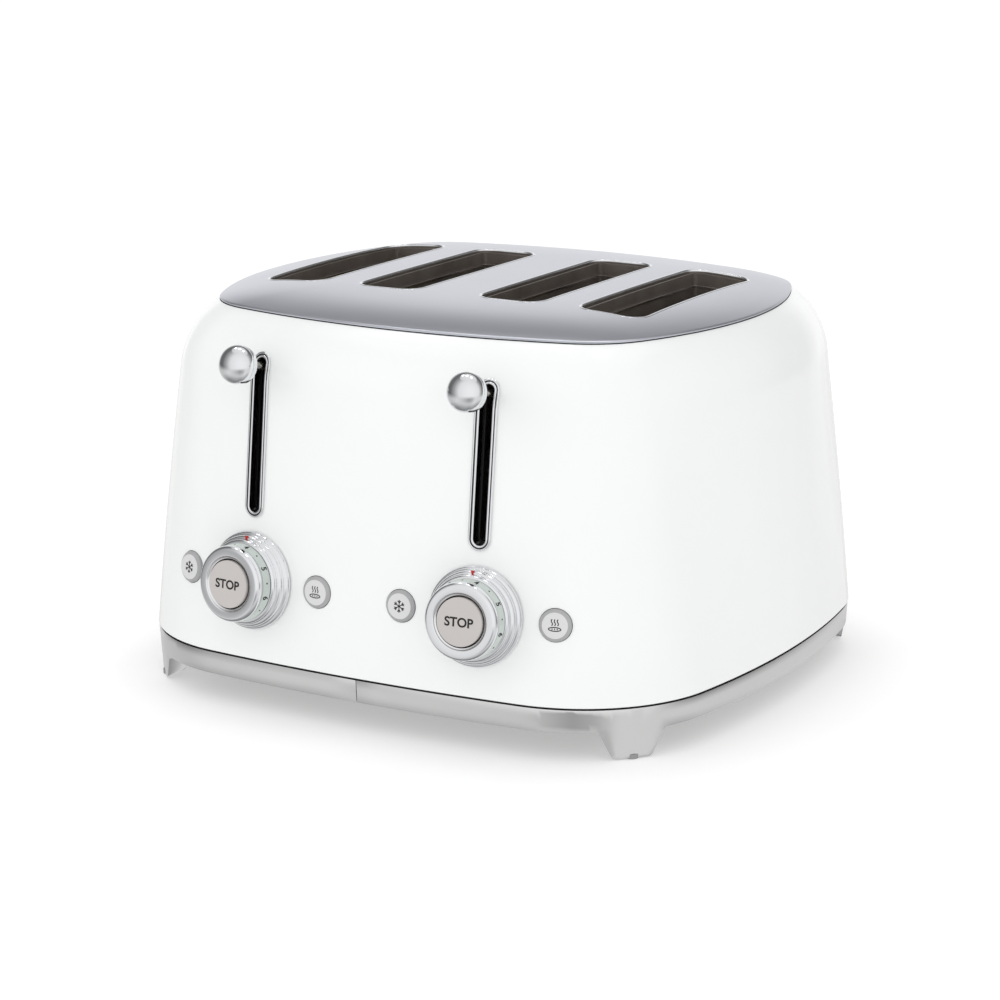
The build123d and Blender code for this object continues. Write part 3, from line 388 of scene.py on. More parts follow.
# ---------------------------------------------------------------- meshes
@dataclass
class Model:
    """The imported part, the casing's form, and the mesh work that all classes share."""

    form: Form
    origin_y: float

    def place(self, point) -> Vector:
        """Millimetres about the casing's middle to metres in the row frame."""
        return Vector((point[0] * MM, (point[1] + self.origin_y) * MM, point[2] * MM))

    def piece(self, name: str, points: list, faces: list, finish: Finishes, angle: float = 35.0,
              extra: list[Finishes] | None = None) -> Piece:
        """Make a mesh object from points in millimetres.

        Args:
            name: the object's name.
            points: vertices, about the casing's middle.
            faces: vertex indices, seen anticlockwise from outside.
            finish: the first material.
            angle: edges that turn more than this many degrees stay sharp.
            extra: further materials.

        Returns:
            The linked object.
        """
        mesh = bpy.data.meshes.new(name)
        mesh.from_pydata([self.place(p) for p in points], [], faces)
        for used in [finish] + (extra or []):
            mesh.materials.append(used.value.material())
        body = link(bpy.data.objects.new(name, mesh))
        self.smooth(body, angle)
        return body

    @staticmethod
    def smooth(body: Piece, angle: float) -> None:
        """Smooth shading with sharp edges past an angle in degrees, normals outwards."""
        work = bmesh.new()
        work.from_mesh(body.data)
        bmesh.ops.remove_doubles(work, verts=work.verts, dist=1e-7)
        bmesh.ops.recalc_face_normals(work, faces=work.faces)
        limit = math.radians(angle)
        for face in work.faces:
            face.smooth = True
        for edge in work.edges:
            edge.smooth = len(edge.link_faces) == 2 and edge.calc_face_angle(0.0) < limit
        work.to_mesh(body.data)
        work.free()

    def lathe(self, name: str, origin: Point, axis: Vector, profile: list, finish: Finishes,
              steps: int = 96, angle: float = 35.0) -> Piece:
        """Turn a closed (radius, height) outline about an axis through origin."""
        up = Vector(axis).normalized()
        side = up.cross(Vector((0, 0, 1)))
        side = side.normalized() if side.length > TINY else Vector((1, 0, 0))
        other = up.cross(side)
        points, faces = [], []
        for i in range(steps):
            a = math.tau * i / steps
            ray = side * math.cos(a) + other * math.sin(a)
            points += [Vector(origin) + ray * r + up * h for r, h in profile]
        n = len(profile)
        for i in range(steps):
            a, b = i * n, ((i + 1) % steps) * n
            for j in range(n):
                k = (j + 1) % n
                if profile[j][0] < TINY and profile[k][0] < TINY:
                    continue
                faces.append((a + j, b + j, b + k, a + k))
        return self.piece(name, points, faces, finish, angle)

    def rings(self, name: str, loops: list[list], finish: Finishes, closed: bool = True,
              angle: float = 35.0) -> Piece:
        """Skin a list of equal rings of points.

        Args:
            name: the object's name.
            loops: rings of points, all of one length.
            finish: the material.
            closed: join the last ring to the first; otherwise cap both ends.
            angle: edges that turn more than this many degrees stay sharp.

        Returns:
            The linked object.
        """
        count = len(loops[0])
        points = [p for loop in loops for p in loop]
        faces = []
        for i in range(len(loops) if closed else len(loops) - 1):
            a, b = i * count, ((i + 1) % len(loops)) * count
            for j in range(count):
                k = (j + 1) % count
                faces.append((a + j, a + k, b + k, b + j))
        if not closed:
            faces.append(tuple(range(count)))
            faces.append(tuple(range(len(points) - count, len(points))))
        return self.piece(name, points, faces, finish, angle)

    def prism(self, name: str, spot: "Spot", outline: list, low: float, high: float,
              finish: Finishes) -> Piece:
        """Straight-sided block between two heights over a work plane."""
        loops = [[spot.at(a, b, h) for a, b in outline] for h in (low, high)]
        return self.rings(name, loops, finish, closed=False)

    def softened(self, frame: dict, node: str, width: float, finish: Finishes) -> Piece:
        """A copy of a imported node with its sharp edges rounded.

        Args:
            node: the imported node's name.
            width: how far each edge is rounded.
            finish: the material.

        Returns:
            The linked object.
        """
        body = link(bpy.data.objects.new(f"{node}_finished", frame["nodes"][node].data.copy()))
        work = bmesh.new()
        work.from_mesh(body.data)
        bmesh.ops.remove_doubles(work, verts=work.verts, dist=TINY)
        bmesh.ops.dissolve_limit(work, angle_limit=math.radians(0.6), verts=work.verts,
                                 edges=work.edges)
        work.to_mesh(body.data)
        work.free()
        body.data.materials.clear()
        body.data.materials.append(finish.value.material())
        edge = body.modifiers.new("edge", "BEVEL")
        edge.width = width * MM
        edge.segments = 2
        edge.limit_method = "ANGLE"
        edge.angle_limit = math.radians(38)
        bake(body)
        self.smooth(body, 40.0)
        return body


@dataclass
class Spot:
    """A work plane: a point, and its right, up and outward directions."""

    origin: Vector
    right: Vector
    up: Vector
    out: Vector

    def at(self, a: float, b: float, h: float = 0.0) -> Vector:
        """The point a to the right, b up and h out."""
        return self.origin + self.right * a + self.up * b + self.out * h

    @classmethod
    def facing(cls, origin: Point, out: Point) -> "Spot":
        """A work plane at a point, level to the right, facing out."""
        out = Vector(out).normalized()
        right = Vector((0, 0, 1)).cross(out).normalized()
        return cls(Vector(origin), right, out.cross(right), out)

    @classmethod
    def on_face(cls, form: Form, x: float, z: float) -> "Spot":
        """A work plane on the casing's front face."""
        return cls.facing((x, form.face_y(x, z), z), form.normal(x, z))


def circle(radius: float, steps: int = 48) -> Plan:
    """Points round a circle."""
    return [(radius * math.cos(math.tau * i / steps), radius * math.sin(math.tau * i / steps))
            for i in range(steps)]


def oblong(width: float, length: float, radius: float, steps: int = 10,
           runs: int = 1) -> Plan:
    """Rounded rectangle, anticlockwise, with its straight sides divided into runs."""
    ring = []
    half_w, half_l = width / 2 - radius, length / 2 - radius
    centres = [(half_w, half_l), (-half_w, half_l), (-half_w, -half_l), (half_w, -half_l)]
    for corner, (cx, cy) in enumerate(centres):
        for i in range(steps + 1):
            a = math.pi / 2 * (corner + i / steps)
            ring.append((cx + radius * math.cos(a), cy + radius * math.sin(a)))
        here = ring[-1]
        nx, ny = centres[(corner + 1) % 4]
        a = math.pi / 2 * (corner + 1)
        there = (nx + radius * math.cos(a), ny + radius * math.sin(a))
        ring += [(here[0] + (there[0] - here[0]) * k / runs,
                  here[1] + (there[1] - here[1]) * k / runs) for k in range(1, runs)]
    return ring


def rounded(profile: list, cut_back: float, steps: int = 4) -> Plan:
    """Round the corners of a closed outline, except on the axis."""
    ring = []
    for i, corner in enumerate(profile):
        here = Vector(corner)
        before = Vector(profile[i - 1]) - here
        after = Vector(profile[(i + 1) % len(profile)]) - here
        if here.x < TINY:
            ring.append(tuple(here))
            continue
        reach = min(cut_back, before.length * 0.45, after.length * 0.45)
        start, end = here + before.normalized() * reach, here + after.normalized() * reach
        for k in range(steps + 1):
            t = k / steps
            ring.append(tuple(start * (1 - t) ** 2 + here * (2 * t * (1 - t)) + end * t ** 2))
    return ring


def join(target: Piece, parts: list[Piece]) -> Piece:
    """Join meshes into the first one, keeping each face's material."""
    work = bmesh.new()
    names = [m.name for m in target.data.materials]
    for body in [target] + parts:
        start = len(work.faces)
        work.from_mesh(body.data)
        work.faces.ensure_lookup_table()
        for face in work.faces[start:]:
            used = body.data.materials[face.material_index]
            if used.name not in names:
                names.append(used.name)
                target.data.materials.append(used)
            face.material_index = names.index(used.name)
    work.to_mesh(target.data)
    work.free()
    for body in parts:
        bpy.data.objects.remove(body)
    return target


def cut(target: Piece, tool: Piece) -> None:
    """Subtract one closed mesh from another and delete the tool."""
    change = target.modifiers.new("cut", "BOOLEAN")
    change.operation = "DIFFERENCE"
    change.solver = "EXACT"
    change.object = tool
    bake(target)
    bpy.data.objects.remove(tool)


def bake(target: Piece) -> None:
    """Turn a piece and its modifiers into a plain mesh."""
    view = bpy.context.evaluated_depsgraph_get()
    plain = bpy.data.meshes.new_from_object(target.evaluated_get(view))
    old = target.data
    target.modifiers.clear()
    target.data = plain
    plain.name = old.name
    bpy.data.meshes.remove(old)


def finish_piece(body: Piece, rides: str, nodes: list[str]) -> None:
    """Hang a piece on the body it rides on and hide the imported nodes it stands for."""
    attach(body, rides)
    if nodes:
        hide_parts(*nodes)
    LOG.info("%s rides on %s, %d faces", body.name, rides, len(body.data.polygons))


# ---------------------------------------------------------------- outer pieces
@dataclass
class Casing:
    """White enamelled casing: one rolled shell with the openings for its controls."""

    model: Model
    wall: float = 1.0
    edge_roll: float = 0.35
    straight_rows: int = 14
    shoulder_rows: int = 26
    control_x: float = 67.1
    dial_z: float = 69.2
    dial_hole: float = 16.7
    button_pitch: float = 42.0
    button_hole: float = 8.6
    track_low: float = 102.0
    track_high: float = 187.0
    track_hole: float = 9.4
    track_lap: float = 2.6
    tray_x: float = 65.9
    tray_half: float = 54.0
    tray_top: float = 49.0
    tray_low: float = 20.0
    gland_z: float = 44.0
    gland_hole: float = 13.2
    reach: float = 12.0

    def ring(self, z: float, grow: float) -> list[Point]:
        """One level of the shell, grown along the form's normal."""
        lean = self.model.form.level(z, grow)[5]
        return [(x, y, z + grow * math.sin(lean)) for x, y in self.model.form.outline(z, grow)]

    def heights(self) -> list[float]:
        """Levels of the shell from bottom to top, close together on the shoulder."""
        form = self.model.form
        turn = form.rim - form.shoulder * (math.sin(math.radians(form.shoulder_end))
                                           - math.sin(math.radians(form.draft_x)))
        low = form.seam + self.edge_roll
        straight = [low + (turn - low) * i / self.straight_rows for i in range(self.straight_rows)]
        rolled = [turn + (form.rim - turn) * math.sin(math.pi / 2 * i / self.shoulder_rows)
                  for i in range(self.shoulder_rows + 1)]
        return straight + rolled

    def cutters(self) -> list[Piece]:
        """Closed blocks for every opening in the shell."""
        model, form = self.model, self.model.form
        blocks = []

        def block(spot: Spot, outline: Plan, low: float = -self.reach,
                  high: float = self.reach) -> None:
            blocks.append(model.prism("hole", spot, outline, low, high, Finishes.ENAMEL))

        for _, side in SIDES:
            x = side * self.control_x
            middle = (self.track_low + self.track_high) / 2
            length = self.track_high - self.track_low - self.track_lap
            block(Spot.facing((x, 0.0, middle), (0, -1, 0)),
                  oblong(self.track_hole, length, self.track_hole / 2 - 0.01, 16), 90.0, 190.0)
            block(Spot.on_face(form, x, self.dial_z), circle(self.dial_hole, 72))
            for shift in (-self.button_pitch, self.button_pitch):
                block(Spot.on_face(form, x + shift, self.dial_z), circle(self.button_hole, 64))
            middle = (self.tray_top + self.tray_low) / 2
            block(Spot.facing((side * self.tray_x, 0.0, middle), (0, 1, 0)),
                  oblong(2 * self.tray_half, self.tray_top - self.tray_low, 1.0, 4), 100.0, 200.0)
        block(Spot.facing((0.0, -form.face_y(0, self.gland_z), self.gland_z), (0, 1, 0)),
              oblong(self.gland_hole, self.gland_hole, 2.0, 4))
        return blocks

    def build(self) -> None:
        """Make the shell, cut its openings and set it on the housing."""
        seam = self.model.form.seam
        loops = [[(x, y, seam) for x, y, _ in self.ring(seam, -self.edge_roll)]]
        loops += [self.ring(z, 0.0) for z in self.heights()]
        loops += [self.ring(z, -self.wall) for z in reversed(self.heights())]
        loops += [[(x, y, seam) for x, y, _ in self.ring(seam, -self.wall + self.edge_roll)]]
        shell = self.model.rings("casing", loops, Finishes.ENAMEL)
        blocks = self.cutters()
        cut(shell, join(blocks[0], blocks[1:]))
        self.model.smooth(shell, 30.0)
        finish_piece(shell, "housing", ["body_shell"])


@dataclass
class TopPlate:
    """Brushed steel top, pressed to a low crown, with polished lips and sheet chutes."""

    model: Model
    gap: float = 0.6
    thick: float = 1.2
    crown: float = 9.2
    power: float = 6.0
    edge: float = 1.0
    slot_xs: tuple[float, ...] = (-95.2, -36.6, 36.6, 95.2)
    slot_w: float = 37.0
    slot_len: float = 134.0
    slot_r: float = 10.0
    chute_inset: float = 2.2
    chute_wall: float = 0.8
    chute_r: float = 3.0
    chute_drop: float = 1.6
    chute_low: float = 196.0
    bead_drop: float = 9.4
    edge_share: float = 0.25
    edge_rows: int = 22
    edge_bias: float = 1.4
    inner_rows: int = 18
    inner_step: float = 0.04
    hem: float = 0.25
    bevel: float = 0.3
    bevel_scale: float = 0.9985

    def height(self, share: float) -> float:
        """Height of the crown where the rim's outline is scaled by share."""
        return (self.model.form.rim + self.gap + self.edge
                + (self.crown - self.edge) * (1 - share ** self.power))

    def share(self, x: float, y: float) -> float:
        """How far out a point lies: 0 in the middle, 1 on the rim's outline."""
        ring = self.model.form.outline(self.model.form.rim)
        for (ax, ay), (bx, by) in zip(ring, ring[1:] + ring[:1]):
            whole = ax * by - bx * ay
            u, v = (x * by - bx * y) / whole, (ax * y - x * ay) / whole
            if u >= -1e-9 and v >= -1e-9 and u + v > 0:
                return u + v
        return 0.0

    def shell(self) -> Piece:
        """The crowned plate without its slots."""
        form = self.model.form
        rim = form.outline(form.rim)
        shares = [1 - self.edge_share * (i / self.edge_rows) ** self.edge_bias
                  for i in range(1, self.edge_rows + 1)]
        shares += [1 - self.edge_share - self.inner_step * i for i in range(1, self.inner_rows + 1)]
        base = form.rim + self.gap

        def level(grow: float, z: float) -> list[Point]:
            return [(x, y, z) for x, y in form.outline(form.rim, grow)]

        def scaled(part: float, drop: float, grow: float) -> list[Point]:
            return [(x * part, y * part, self.height(part) - drop)
                    for x, y in form.outline(form.rim, grow)]

        loops = [scaled(part, self.thick, -self.thick) for part in reversed(shares)]
        loops += [level(-self.thick, base + self.edge - self.thick), level(-self.thick, base),
                  level(-self.hem, base), level(0.0, base + self.hem),
                  level(0.0, base + self.edge - self.bevel)]
        loops += [[(x * self.bevel_scale, y * self.bevel_scale, base + self.edge) for x, y in rim]]
        loops += [scaled(part, 0.0, 0.0) for part in shares]
        return self.model.rings("top_plate_pressing", loops, Finishes.PLATE, closed=False,
                                angle=50.0)

    def follow(self, x: float, section: Plan, edge: Point, name: str, finish: Finishes) -> Piece:
        """Sweep a closed (outwards, above the plate) section round one slot.

        Args:
            x: middle of the slot.
            section: points outwards from the edge and up from the plate, or up from the worktop
                less FROM_WORKTOP.
            edge: width, length and corner radius of the outline that is followed.
            name: the piece's name.
            finish: the material.

        Returns:
            The linked object.
        """
        width, length, radius = edge
        loops = []
        for out, up in section:
            ring = oblong(width + 2 * out, length + 2 * out, radius + out, 8, 16)
            loops.append([(x + px, py, up + FROM_WORKTOP if up < -FROM_WORKTOP / 2 else
                           self.height(self.share(x + px, py)) + up) for px, py in ring])
        return self.model.rings(name, loops, finish)

    def build(self) -> None:
        """Make the plate with its lips, and the chutes under it."""
        slot = (self.slot_w, self.slot_len, self.slot_r)
        inset = 2 * self.chute_inset
        mouth = (self.slot_w - inset, self.slot_len - inset, self.chute_r)
        plate = self.shell()
        holes = []
        for x in self.slot_xs:
            spot = Spot(Vector((x, 0, 190.0)), Vector((1, 0, 0)), Vector((0, 1, 0)),
                        Vector((0, 0, 1)))
            holes.append(self.model.prism("hole", spot, oblong(*slot, 12), 0.0, 40.0,
                                          Finishes.PLATE))
        cut(plate, join(holes[0], holes[1:]))
        self.model.smooth(plate, 30.0)
        lip = rounded([(1.4, -0.5), (1.4, 0.03), (0.9, 0.2), (0.1, 0.18), (-0.2, -0.3),
                       (-0.2, -0.9), (0.5, -0.9), (0.5, -0.5)], 0.25, 3)
        fold = [(-0.15, -0.8), (-0.15, -4.6), (0.5, -4.6), (0.5, -0.8)]
        inner, drop, low = -self.chute_wall, -self.bead_drop, self.chute_low - FROM_WORKTOP
        wall = [(0.0, -self.chute_drop), (0.0, low), (inner, low), (inner, -self.chute_drop)]
        bead = rounded([(inner + 0.1, drop), (inner + 0.1, drop + 0.9), (inner - 0.7, drop + 0.9),
                        (inner - 0.7, drop)], 0.3, 3)
        chutes, lips = [], []
        for x in self.slot_xs:
            lips += [self.follow(x, lip, slot, "lip", Finishes.LIP),
                     self.follow(x, fold, slot, "fold", Finishes.SCORCHED)]
            chutes += [self.follow(x, wall, mouth, "chute", Finishes.SCORCHED),
                       self.follow(x, bead, mouth, "chute_bead", Finishes.LIP)]
        plate.name = "top_plate_finished"
        finish_piece(join(plate, lips), "housing", ["top_plate"])
        chutes[0].name = "bread_chutes"
        finish_piece(join(chutes[0], chutes[1:]), "housing", ["slot_liners"])


# ---------------------------------------------------------------- controls
@dataclass
class LeverGroup:
    """One lever: the chromed track trim, and the domed knob with its skirt."""

    model: Model
    side: str
    x: float
    low: float = 102.0
    high: float = 187.0
    width: float = 12.0
    slot: float = 6.4
    knob_z: float = 184.4
    reach: float = 23.5
    tilt: float = 12.0
    knob_r: float = 10.1
    dome: float = 7.4
    skirt: float = 4.0
    groove: float = 0.7
    rod_r: float = 2.2

    def band(self, section: list, name: str, finish: Finishes) -> Piece:
        """Sweep a closed section round the track: out from its middle line, above the casing."""
        form = self.model.form
        middle = (self.low + self.high) / 2
        loops = []
        for out, up in section:
            length = self.high - self.low - self.width + 2 * out
            loops.append([(self.x + a, form.face_y(self.x + a, middle + b, up), middle + b)
                          for a, b in oblong(2 * out, length, out - 0.001, 14, 30)])
        return self.model.rings(name, loops, finish)

    def build(self) -> None:
        """Make the trim and the knob."""
        outer, inner = self.width / 2, self.slot / 2
        rim, gap, step = outer - 1.0, outer - 1.65, outer - 1.5
        trim = self.band(rounded([
            (outer, 0.1), (outer, 0.9), (outer - 0.35, 1.2), (outer - 0.9, 1.2), (rim, 0.1)],
            0.3), f"lever_trim_{self.side}", Finishes.CHROME)
        # The groove between bead and band is lined with a black ring: painted shade where the
        # groove falls dark.
        groove = self.band([(rim + 0.05, -0.5), (rim + 0.05, 0.55), (gap, 0.55), (gap, -0.5)],
                           "groove", Finishes.BLACK)
        band = self.band(rounded([
            (step, -3.0), (step, 0.8), (outer - 1.9, 1.15), (inner + 0.25, 1.0), (inner, 0.4),
            (inner, -3.9), (step, -3.9)], 0.3), "band", Finishes.CHROME)
        finish_piece(join(trim, [groove, band]), "housing", [f"lever_track_{self.side}"])
        self.knob()

    def knob(self) -> None:
        """Turn the knob: a low dome, a groove lined in black as painted shade, and a short skirt,
        leaning back on its arm.
        """
        origin = (self.x, self.model.form.face_y(self.x, self.knob_z) - self.reach, self.knob_z)
        lean = math.radians(self.tilt)
        axis = Vector((0.0, -math.cos(lean), math.sin(lean)))
        r, bore, low = self.knob_r, self.rod_r + 0.05, -self.groove - 0.3
        arc = [math.pi / 2 * i / 36 for i in range(37)]
        dome = [(r * math.sin(a), self.dome * math.cos(a)) for a in arc]
        dome += [(r, -0.1), (r - 0.2, -0.3), (r - 1.4, -0.3), (r - 1.4, 1.0), (0.0, 1.0)]
        knob = self.model.lathe(f"lever_dome_{self.side}", origin, axis, dome, Finishes.CHROME,
                                96, 40.0)
        # Black ring in the groove between dome and skirt: painted shade.
        neck = self.model.lathe("neck", origin, axis, [
            (bore, low), (r - 1.3, low), (r - 1.3, -0.2), (bore, -0.2)], Finishes.BLACK)
        skirt = self.model.lathe("skirt", origin, axis, rounded([
            (bore, low), (r - 0.3, low), (r - 0.3, -self.skirt), (bore, -self.skirt)], 0.35),
            Finishes.CHROME)
        finish_piece(join(knob, [neck, skirt]), f"lever_{self.side}", [f"lever_knob_{self.side}"])


# Turned outlines of the dial: radius, and height over the casing, in millimetres.
BEZEL = [(15, -7), (16.5, -7), (16.5, 0.1), (25.75, 0.1), (25.75, 1.4), (24.95, 2.7), (23.9, 3.0),
         (23.75, 5.0), (22.95, 6.0), (21.95, 6.2), (21.95, 8.4), (20.95, 9.4), (15, 9.4)]
DIAL_RIM = [(12.7, 14.2), (18.6, 14.2), (18.6, 14.8), (19.6, 15.1), (19.9, 16.4), (19.4, 18.2),
            (18.3, 19.2), (14.5, 19.2), (14.0, 18.4), (12.7, 18.0)]
DIAL_COLLAR = [(14, 9.7), (20.4, 9.7), (19.3, 14.2), (14, 14.3)]
DIAL_HUB = [(5.4, -12), (8, -12), (8, 10), (14.5, 10), (14.5, 14.3), (5.4, 14.2)]
# Black lining of the gap between the stop disc and the dial's rim: painted shade.
DIAL_PAINTED_SHADE_RING = [(12.72, 14.3), (14.2, 14.3), (14.2, 18.25), (12.72, 18.1)]
STOP_DISC = [(0, -21.2), (3.0, -21.2), (3.0, 16.2), (12.4, 16.2), (12.4, 19.3), (12.0, 19.7),
             (0, 19.7)]


@dataclass
class DialGroup:
    """One browning dial: stepped bezel, numbered collar, chromed rim and the stop disc."""

    model: Model
    side: str
    x: float
    z: float = 69.2
    numbers: tuple[tuple[str, float], ...] = (("1", -120.0), ("2", -75.0), ("3", -30.0),
                                              ("4", 15.0), ("5", 60.0), ("6", 105.0))
    dot_turn: float = 22.5
    mark_r: float = 19.85
    mark_h: float = 11.9
    mark_tilt: float = 76.0
    spot: Spot = field(init=False)

    def __post_init__(self) -> None:
        """Find the dial's place on the casing."""
        self.spot = Spot.on_face(self.model.form, self.x, self.z)

    def turned(self, name: str, profile: list, finish: Finishes, cut_back: float) -> Piece:
        """Turn one piece of the dial about its axis."""
        return self.model.lathe(name, self.spot.origin, self.spot.out,
                                rounded(profile, cut_back), finish)

    def around(self, degrees: float, radius: float, height: float, tilt: float) -> Spot:
        """A work plane on the collar, clockwise from the top, leaning back from the dial's axis."""
        a = math.radians(degrees)
        ray = self.spot.right * math.sin(a) + self.spot.up * math.cos(a)
        t = math.radians(tilt)
        out = (ray * math.sin(t) + self.spot.out * math.cos(t)).normalized()
        up = (self.spot.out * -math.sin(t) + ray * math.cos(t)).normalized()
        origin = self.spot.origin + ray * radius + self.spot.out * height
        return Spot(origin, up.cross(out), up, out)

    def build(self) -> None:
        """Make the bezel, the dial and the stop disc, with their marks."""
        model, side, mark = self.model, self.side, (self.mark_r, self.mark_h, self.mark_tilt)
        bezel = self.turned(f"dial_bezel_{side}_finished", BEZEL, Finishes.CHROME, 0.6)
        flag = model.prism("pointer", self.around(0.0, 22.9, 6.15, 20.0),
                           [(-1.1, 1.0), (0.0, -1.7), (1.1, 1.0)], -0.3, 0.12, Finishes.RED)
        finish_piece(join(bezel, [flag]), "housing", [f"dial_bezel_{side}"])
        dial = self.turned(f"browning_dial_{side}_finished", DIAL_RIM, Finishes.CHROME, 0.8)
        parts = [self.turned("collar", DIAL_COLLAR, Finishes.COLLAR, 0.3),
                 self.turned("hub", DIAL_HUB, Finishes.BLACK, 0.2),
                 self.turned("groove", DIAL_PAINTED_SHADE_RING, Finishes.BLACK, 0.05)]
        for words, angle in self.numbers:
            parts += [lettering(model, words, 4.3, self.around(angle, *mark), 0.03),
                      model.prism("dot", self.around(angle + self.dot_turn, *mark),
                                  circle(0.45, 12), -0.1, 0.06, Finishes.INK)]
        finish_piece(join(dial, parts), f"dial_{side}", [f"browning_dial_{side}"])
        disc = self.turned(f"stop_button_{side}_finished", STOP_DISC, Finishes.STOP, 0.35)
        words = lettering(model, "STOP", 6.5, self.spot, 19.72, 0.16)
        finish_piece(join(disc, [words]), f"stop_{side}", [f"stop_button_{side}"])


def lettering(model: Model, words: str, size: float, spot: Spot, height: float,
              bold: float = 0.1) -> Piece:
    """Printed letters or numbers, centred on a work plane.

    Args:
        model: the mesh maker.
        words: what is printed.
        size: letter size in millimetres.
        spot: the plane.
        height: height of the print over the plane.
        bold: how much heavier than the plain letter each stroke is.

    Returns:
        The linked object.
    """
    curve = bpy.data.curves.new("print", "FONT")
    curve.body = words
    curve.size = size
    curve.extrude = 0.05
    curve.offset = bold
    curve.resolution_u = 6
    holder = link(bpy.data.objects.new("print", curve))
    view = bpy.context.evaluated_depsgraph_get()
    mesh = bpy.data.meshes.new_from_object(holder.evaluated_get(view))
    bpy.data.objects.remove(holder)
    xs = [v.co.x for v in mesh.vertices]
    ys = [v.co.y for v in mesh.vertices]
    middle = ((min(xs) + max(xs)) / 2, (min(ys) + max(ys)) / 2)
    for v in mesh.vertices:
        v.co = model.place(spot.at(v.co.x - middle[0], v.co.y - middle[1], height + v.co.z))
    mesh.materials.clear()
    mesh.materials.append(Finishes.INK.value.material())
    body = link(bpy.data.objects.new("print", mesh))
    model.smooth(body, 30.0)
    return body


class Icon(Enum):
    """What is printed on a push button: strokes as lists of points, in millimetres."""

    SNOW = "snow"
    WAVES = "waves"

    def strokes(self) -> list[Plan]:
        """The icon's strokes."""
        if self is Icon.SNOW:
            lines = []
            for i in range(6):
                a = math.tau * i / 6 + math.pi / 6
                ray = Vector((math.cos(a), math.sin(a)))
                lines.append([(0.0, 0.0), tuple(ray * 3.1)])
                for turn in (-1, 1):
                    b = a + turn * math.radians(38)
                    start = ray * 1.7
                    barb = Vector((math.cos(b), math.sin(b))) * 1.25
                    lines.append([tuple(start), tuple(start + barb)])
            return lines
        lines = [[(x + 0.32 * math.sin(math.tau * t / 12), 0.1 + 3.0 * t / 12) for t in range(13)]
                 for x in (-1.5, 0.0, 1.5)]
        lines.append([(3.1 * math.cos(a), -1.75 + 0.95 * math.sin(a))
                      for a in (math.tau * i / 28 for i in range(29))])
        lines += [[(x, -1.95), (x, -1.5)] for x in (-1.3, 0.0, 1.3)]
        return lines


@dataclass
class PushButton:
    """A round push button with a bevelled edge and a printed icon."""

    model: Model
    name: str
    side: str
    x: float
    icon: Icon
    z: float = 69.2
    radius: float = 8.3
    face: float = 6.6
    proud: float = 1.8
    stroke: float = 0.48

    def build(self) -> None:
        """Make the button and its icon."""
        spot = Spot.on_face(self.model.form, self.x, self.z)
        node, collar = f"{self.name}_button_{self.side}", self.radius + 1.4
        # Body and sloped edge take the darker copy of the button plastic: painted shade.
        body = self.model.lathe(f"{node}_finished", spot.origin, spot.out, rounded([
            (0, -11.2), (2.5, -11.2), (2.5, -4.4), (collar, -4.4), (collar, -2.8),
            (self.radius, -2.8), (self.radius, 0.6), (self.face, self.proud - 0.1),
            (0, self.proud - 0.1)], 0.3), Finishes.BUTTON_EDGE, 72)
        cap = self.model.lathe("cap", spot.origin, spot.out, rounded([
            (0, 0.5), (self.face, 0.5), (self.face, self.proud - 0.05),
            (self.face - 0.35, self.proud), (0, self.proud)], 0.2), Finishes.BUTTON, 72)
        parts = [cap]
        for line in self.icon.strokes():
            for (ax, ay), (bx, by) in zip(line, line[1:]):
                along = Vector((bx - ax, by - ay))
                step = along.normalized() * self.stroke / 2
                side = Vector((-step.y, step.x))
                ends = [Vector((ax, ay)) - step * 0.6, Vector((bx, by)) + step * 0.6]
                ring = [tuple(ends[0] - side), tuple(ends[1] - side), tuple(ends[1] + side),
                        tuple(ends[0] + side)]
                parts.append(self.model.prism("line", spot, ring, self.proud - 0.05,
                                              self.proud + 0.05, Finishes.INK))
        finish_piece(join(body, parts), f"{self.name}_{self.side}", [node])


# ---------------------------------------------------------------- repeated pieces
def grown(name: str, tree: Tree, seeds: list[Vector], values: dict) -> Piece:
    """Run a geometry tree on a cloud of points and keep the plain mesh.

    Args:
        name: the piece's name.
        tree: the tree.
        seeds: points in metres.
        values: the tree's inputs by name.

    Returns:
        The linked object.
    """
    mesh = bpy.data.meshes.new(name)
    mesh.from_pydata([tuple(p) for p in seeds], [], [])
    body = link(bpy.data.objects.new(name, mesh))
    change = body.modifiers.new("grow", "NODES")
    change.node_group = tree
    for item in tree.interface.items_tree:
        if item.item_type == "SOCKET" and item.in_out == "INPUT" and item.name in values:
            change[item.identifier] = values[item.name]
    bake(body)
    return body


def new_tree(name: str, inputs: dict[str, str]) -> tuple[Tree, bpy.types.Node]:
    """Start a geometry tree with named inputs, and return it with its input node."""
    tree = bpy.data.node_groups.new(name, "GeometryNodeTree")
    tree.interface.new_socket("Geometry", in_out="INPUT", socket_type="NodeSocketGeometry")
    for label, kind in inputs.items():
        tree.interface.new_socket(label, in_out="INPUT", socket_type=kind)
    tree.interface.new_socket("Geometry", in_out="OUTPUT", socket_type="NodeSocketGeometry")
    return tree, add_node(tree, "NodeGroupInput")


def plant(tree: Tree, given: bpy.types.Node, shape: bpy.types.Node, finish: Finishes) -> None:
    """End a geometry tree: the shape stands on every seed point, as real mesh in one material."""
    spread = add_node(tree, "GeometryNodeInstanceOnPoints", {
        "Points": given.outputs["Geometry"], "Instance": shape.outputs[0]})
    solid = add_node(tree, "GeometryNodeRealizeInstances", {0: spread.outputs[0]})
    dressed = add_node(tree, "GeometryNodeSetMaterial", {
        "Geometry": solid.outputs[0], "Material": finish.value.material()})
    add_node(tree, "NodeGroupOutput", {0: dressed.outputs[0]})


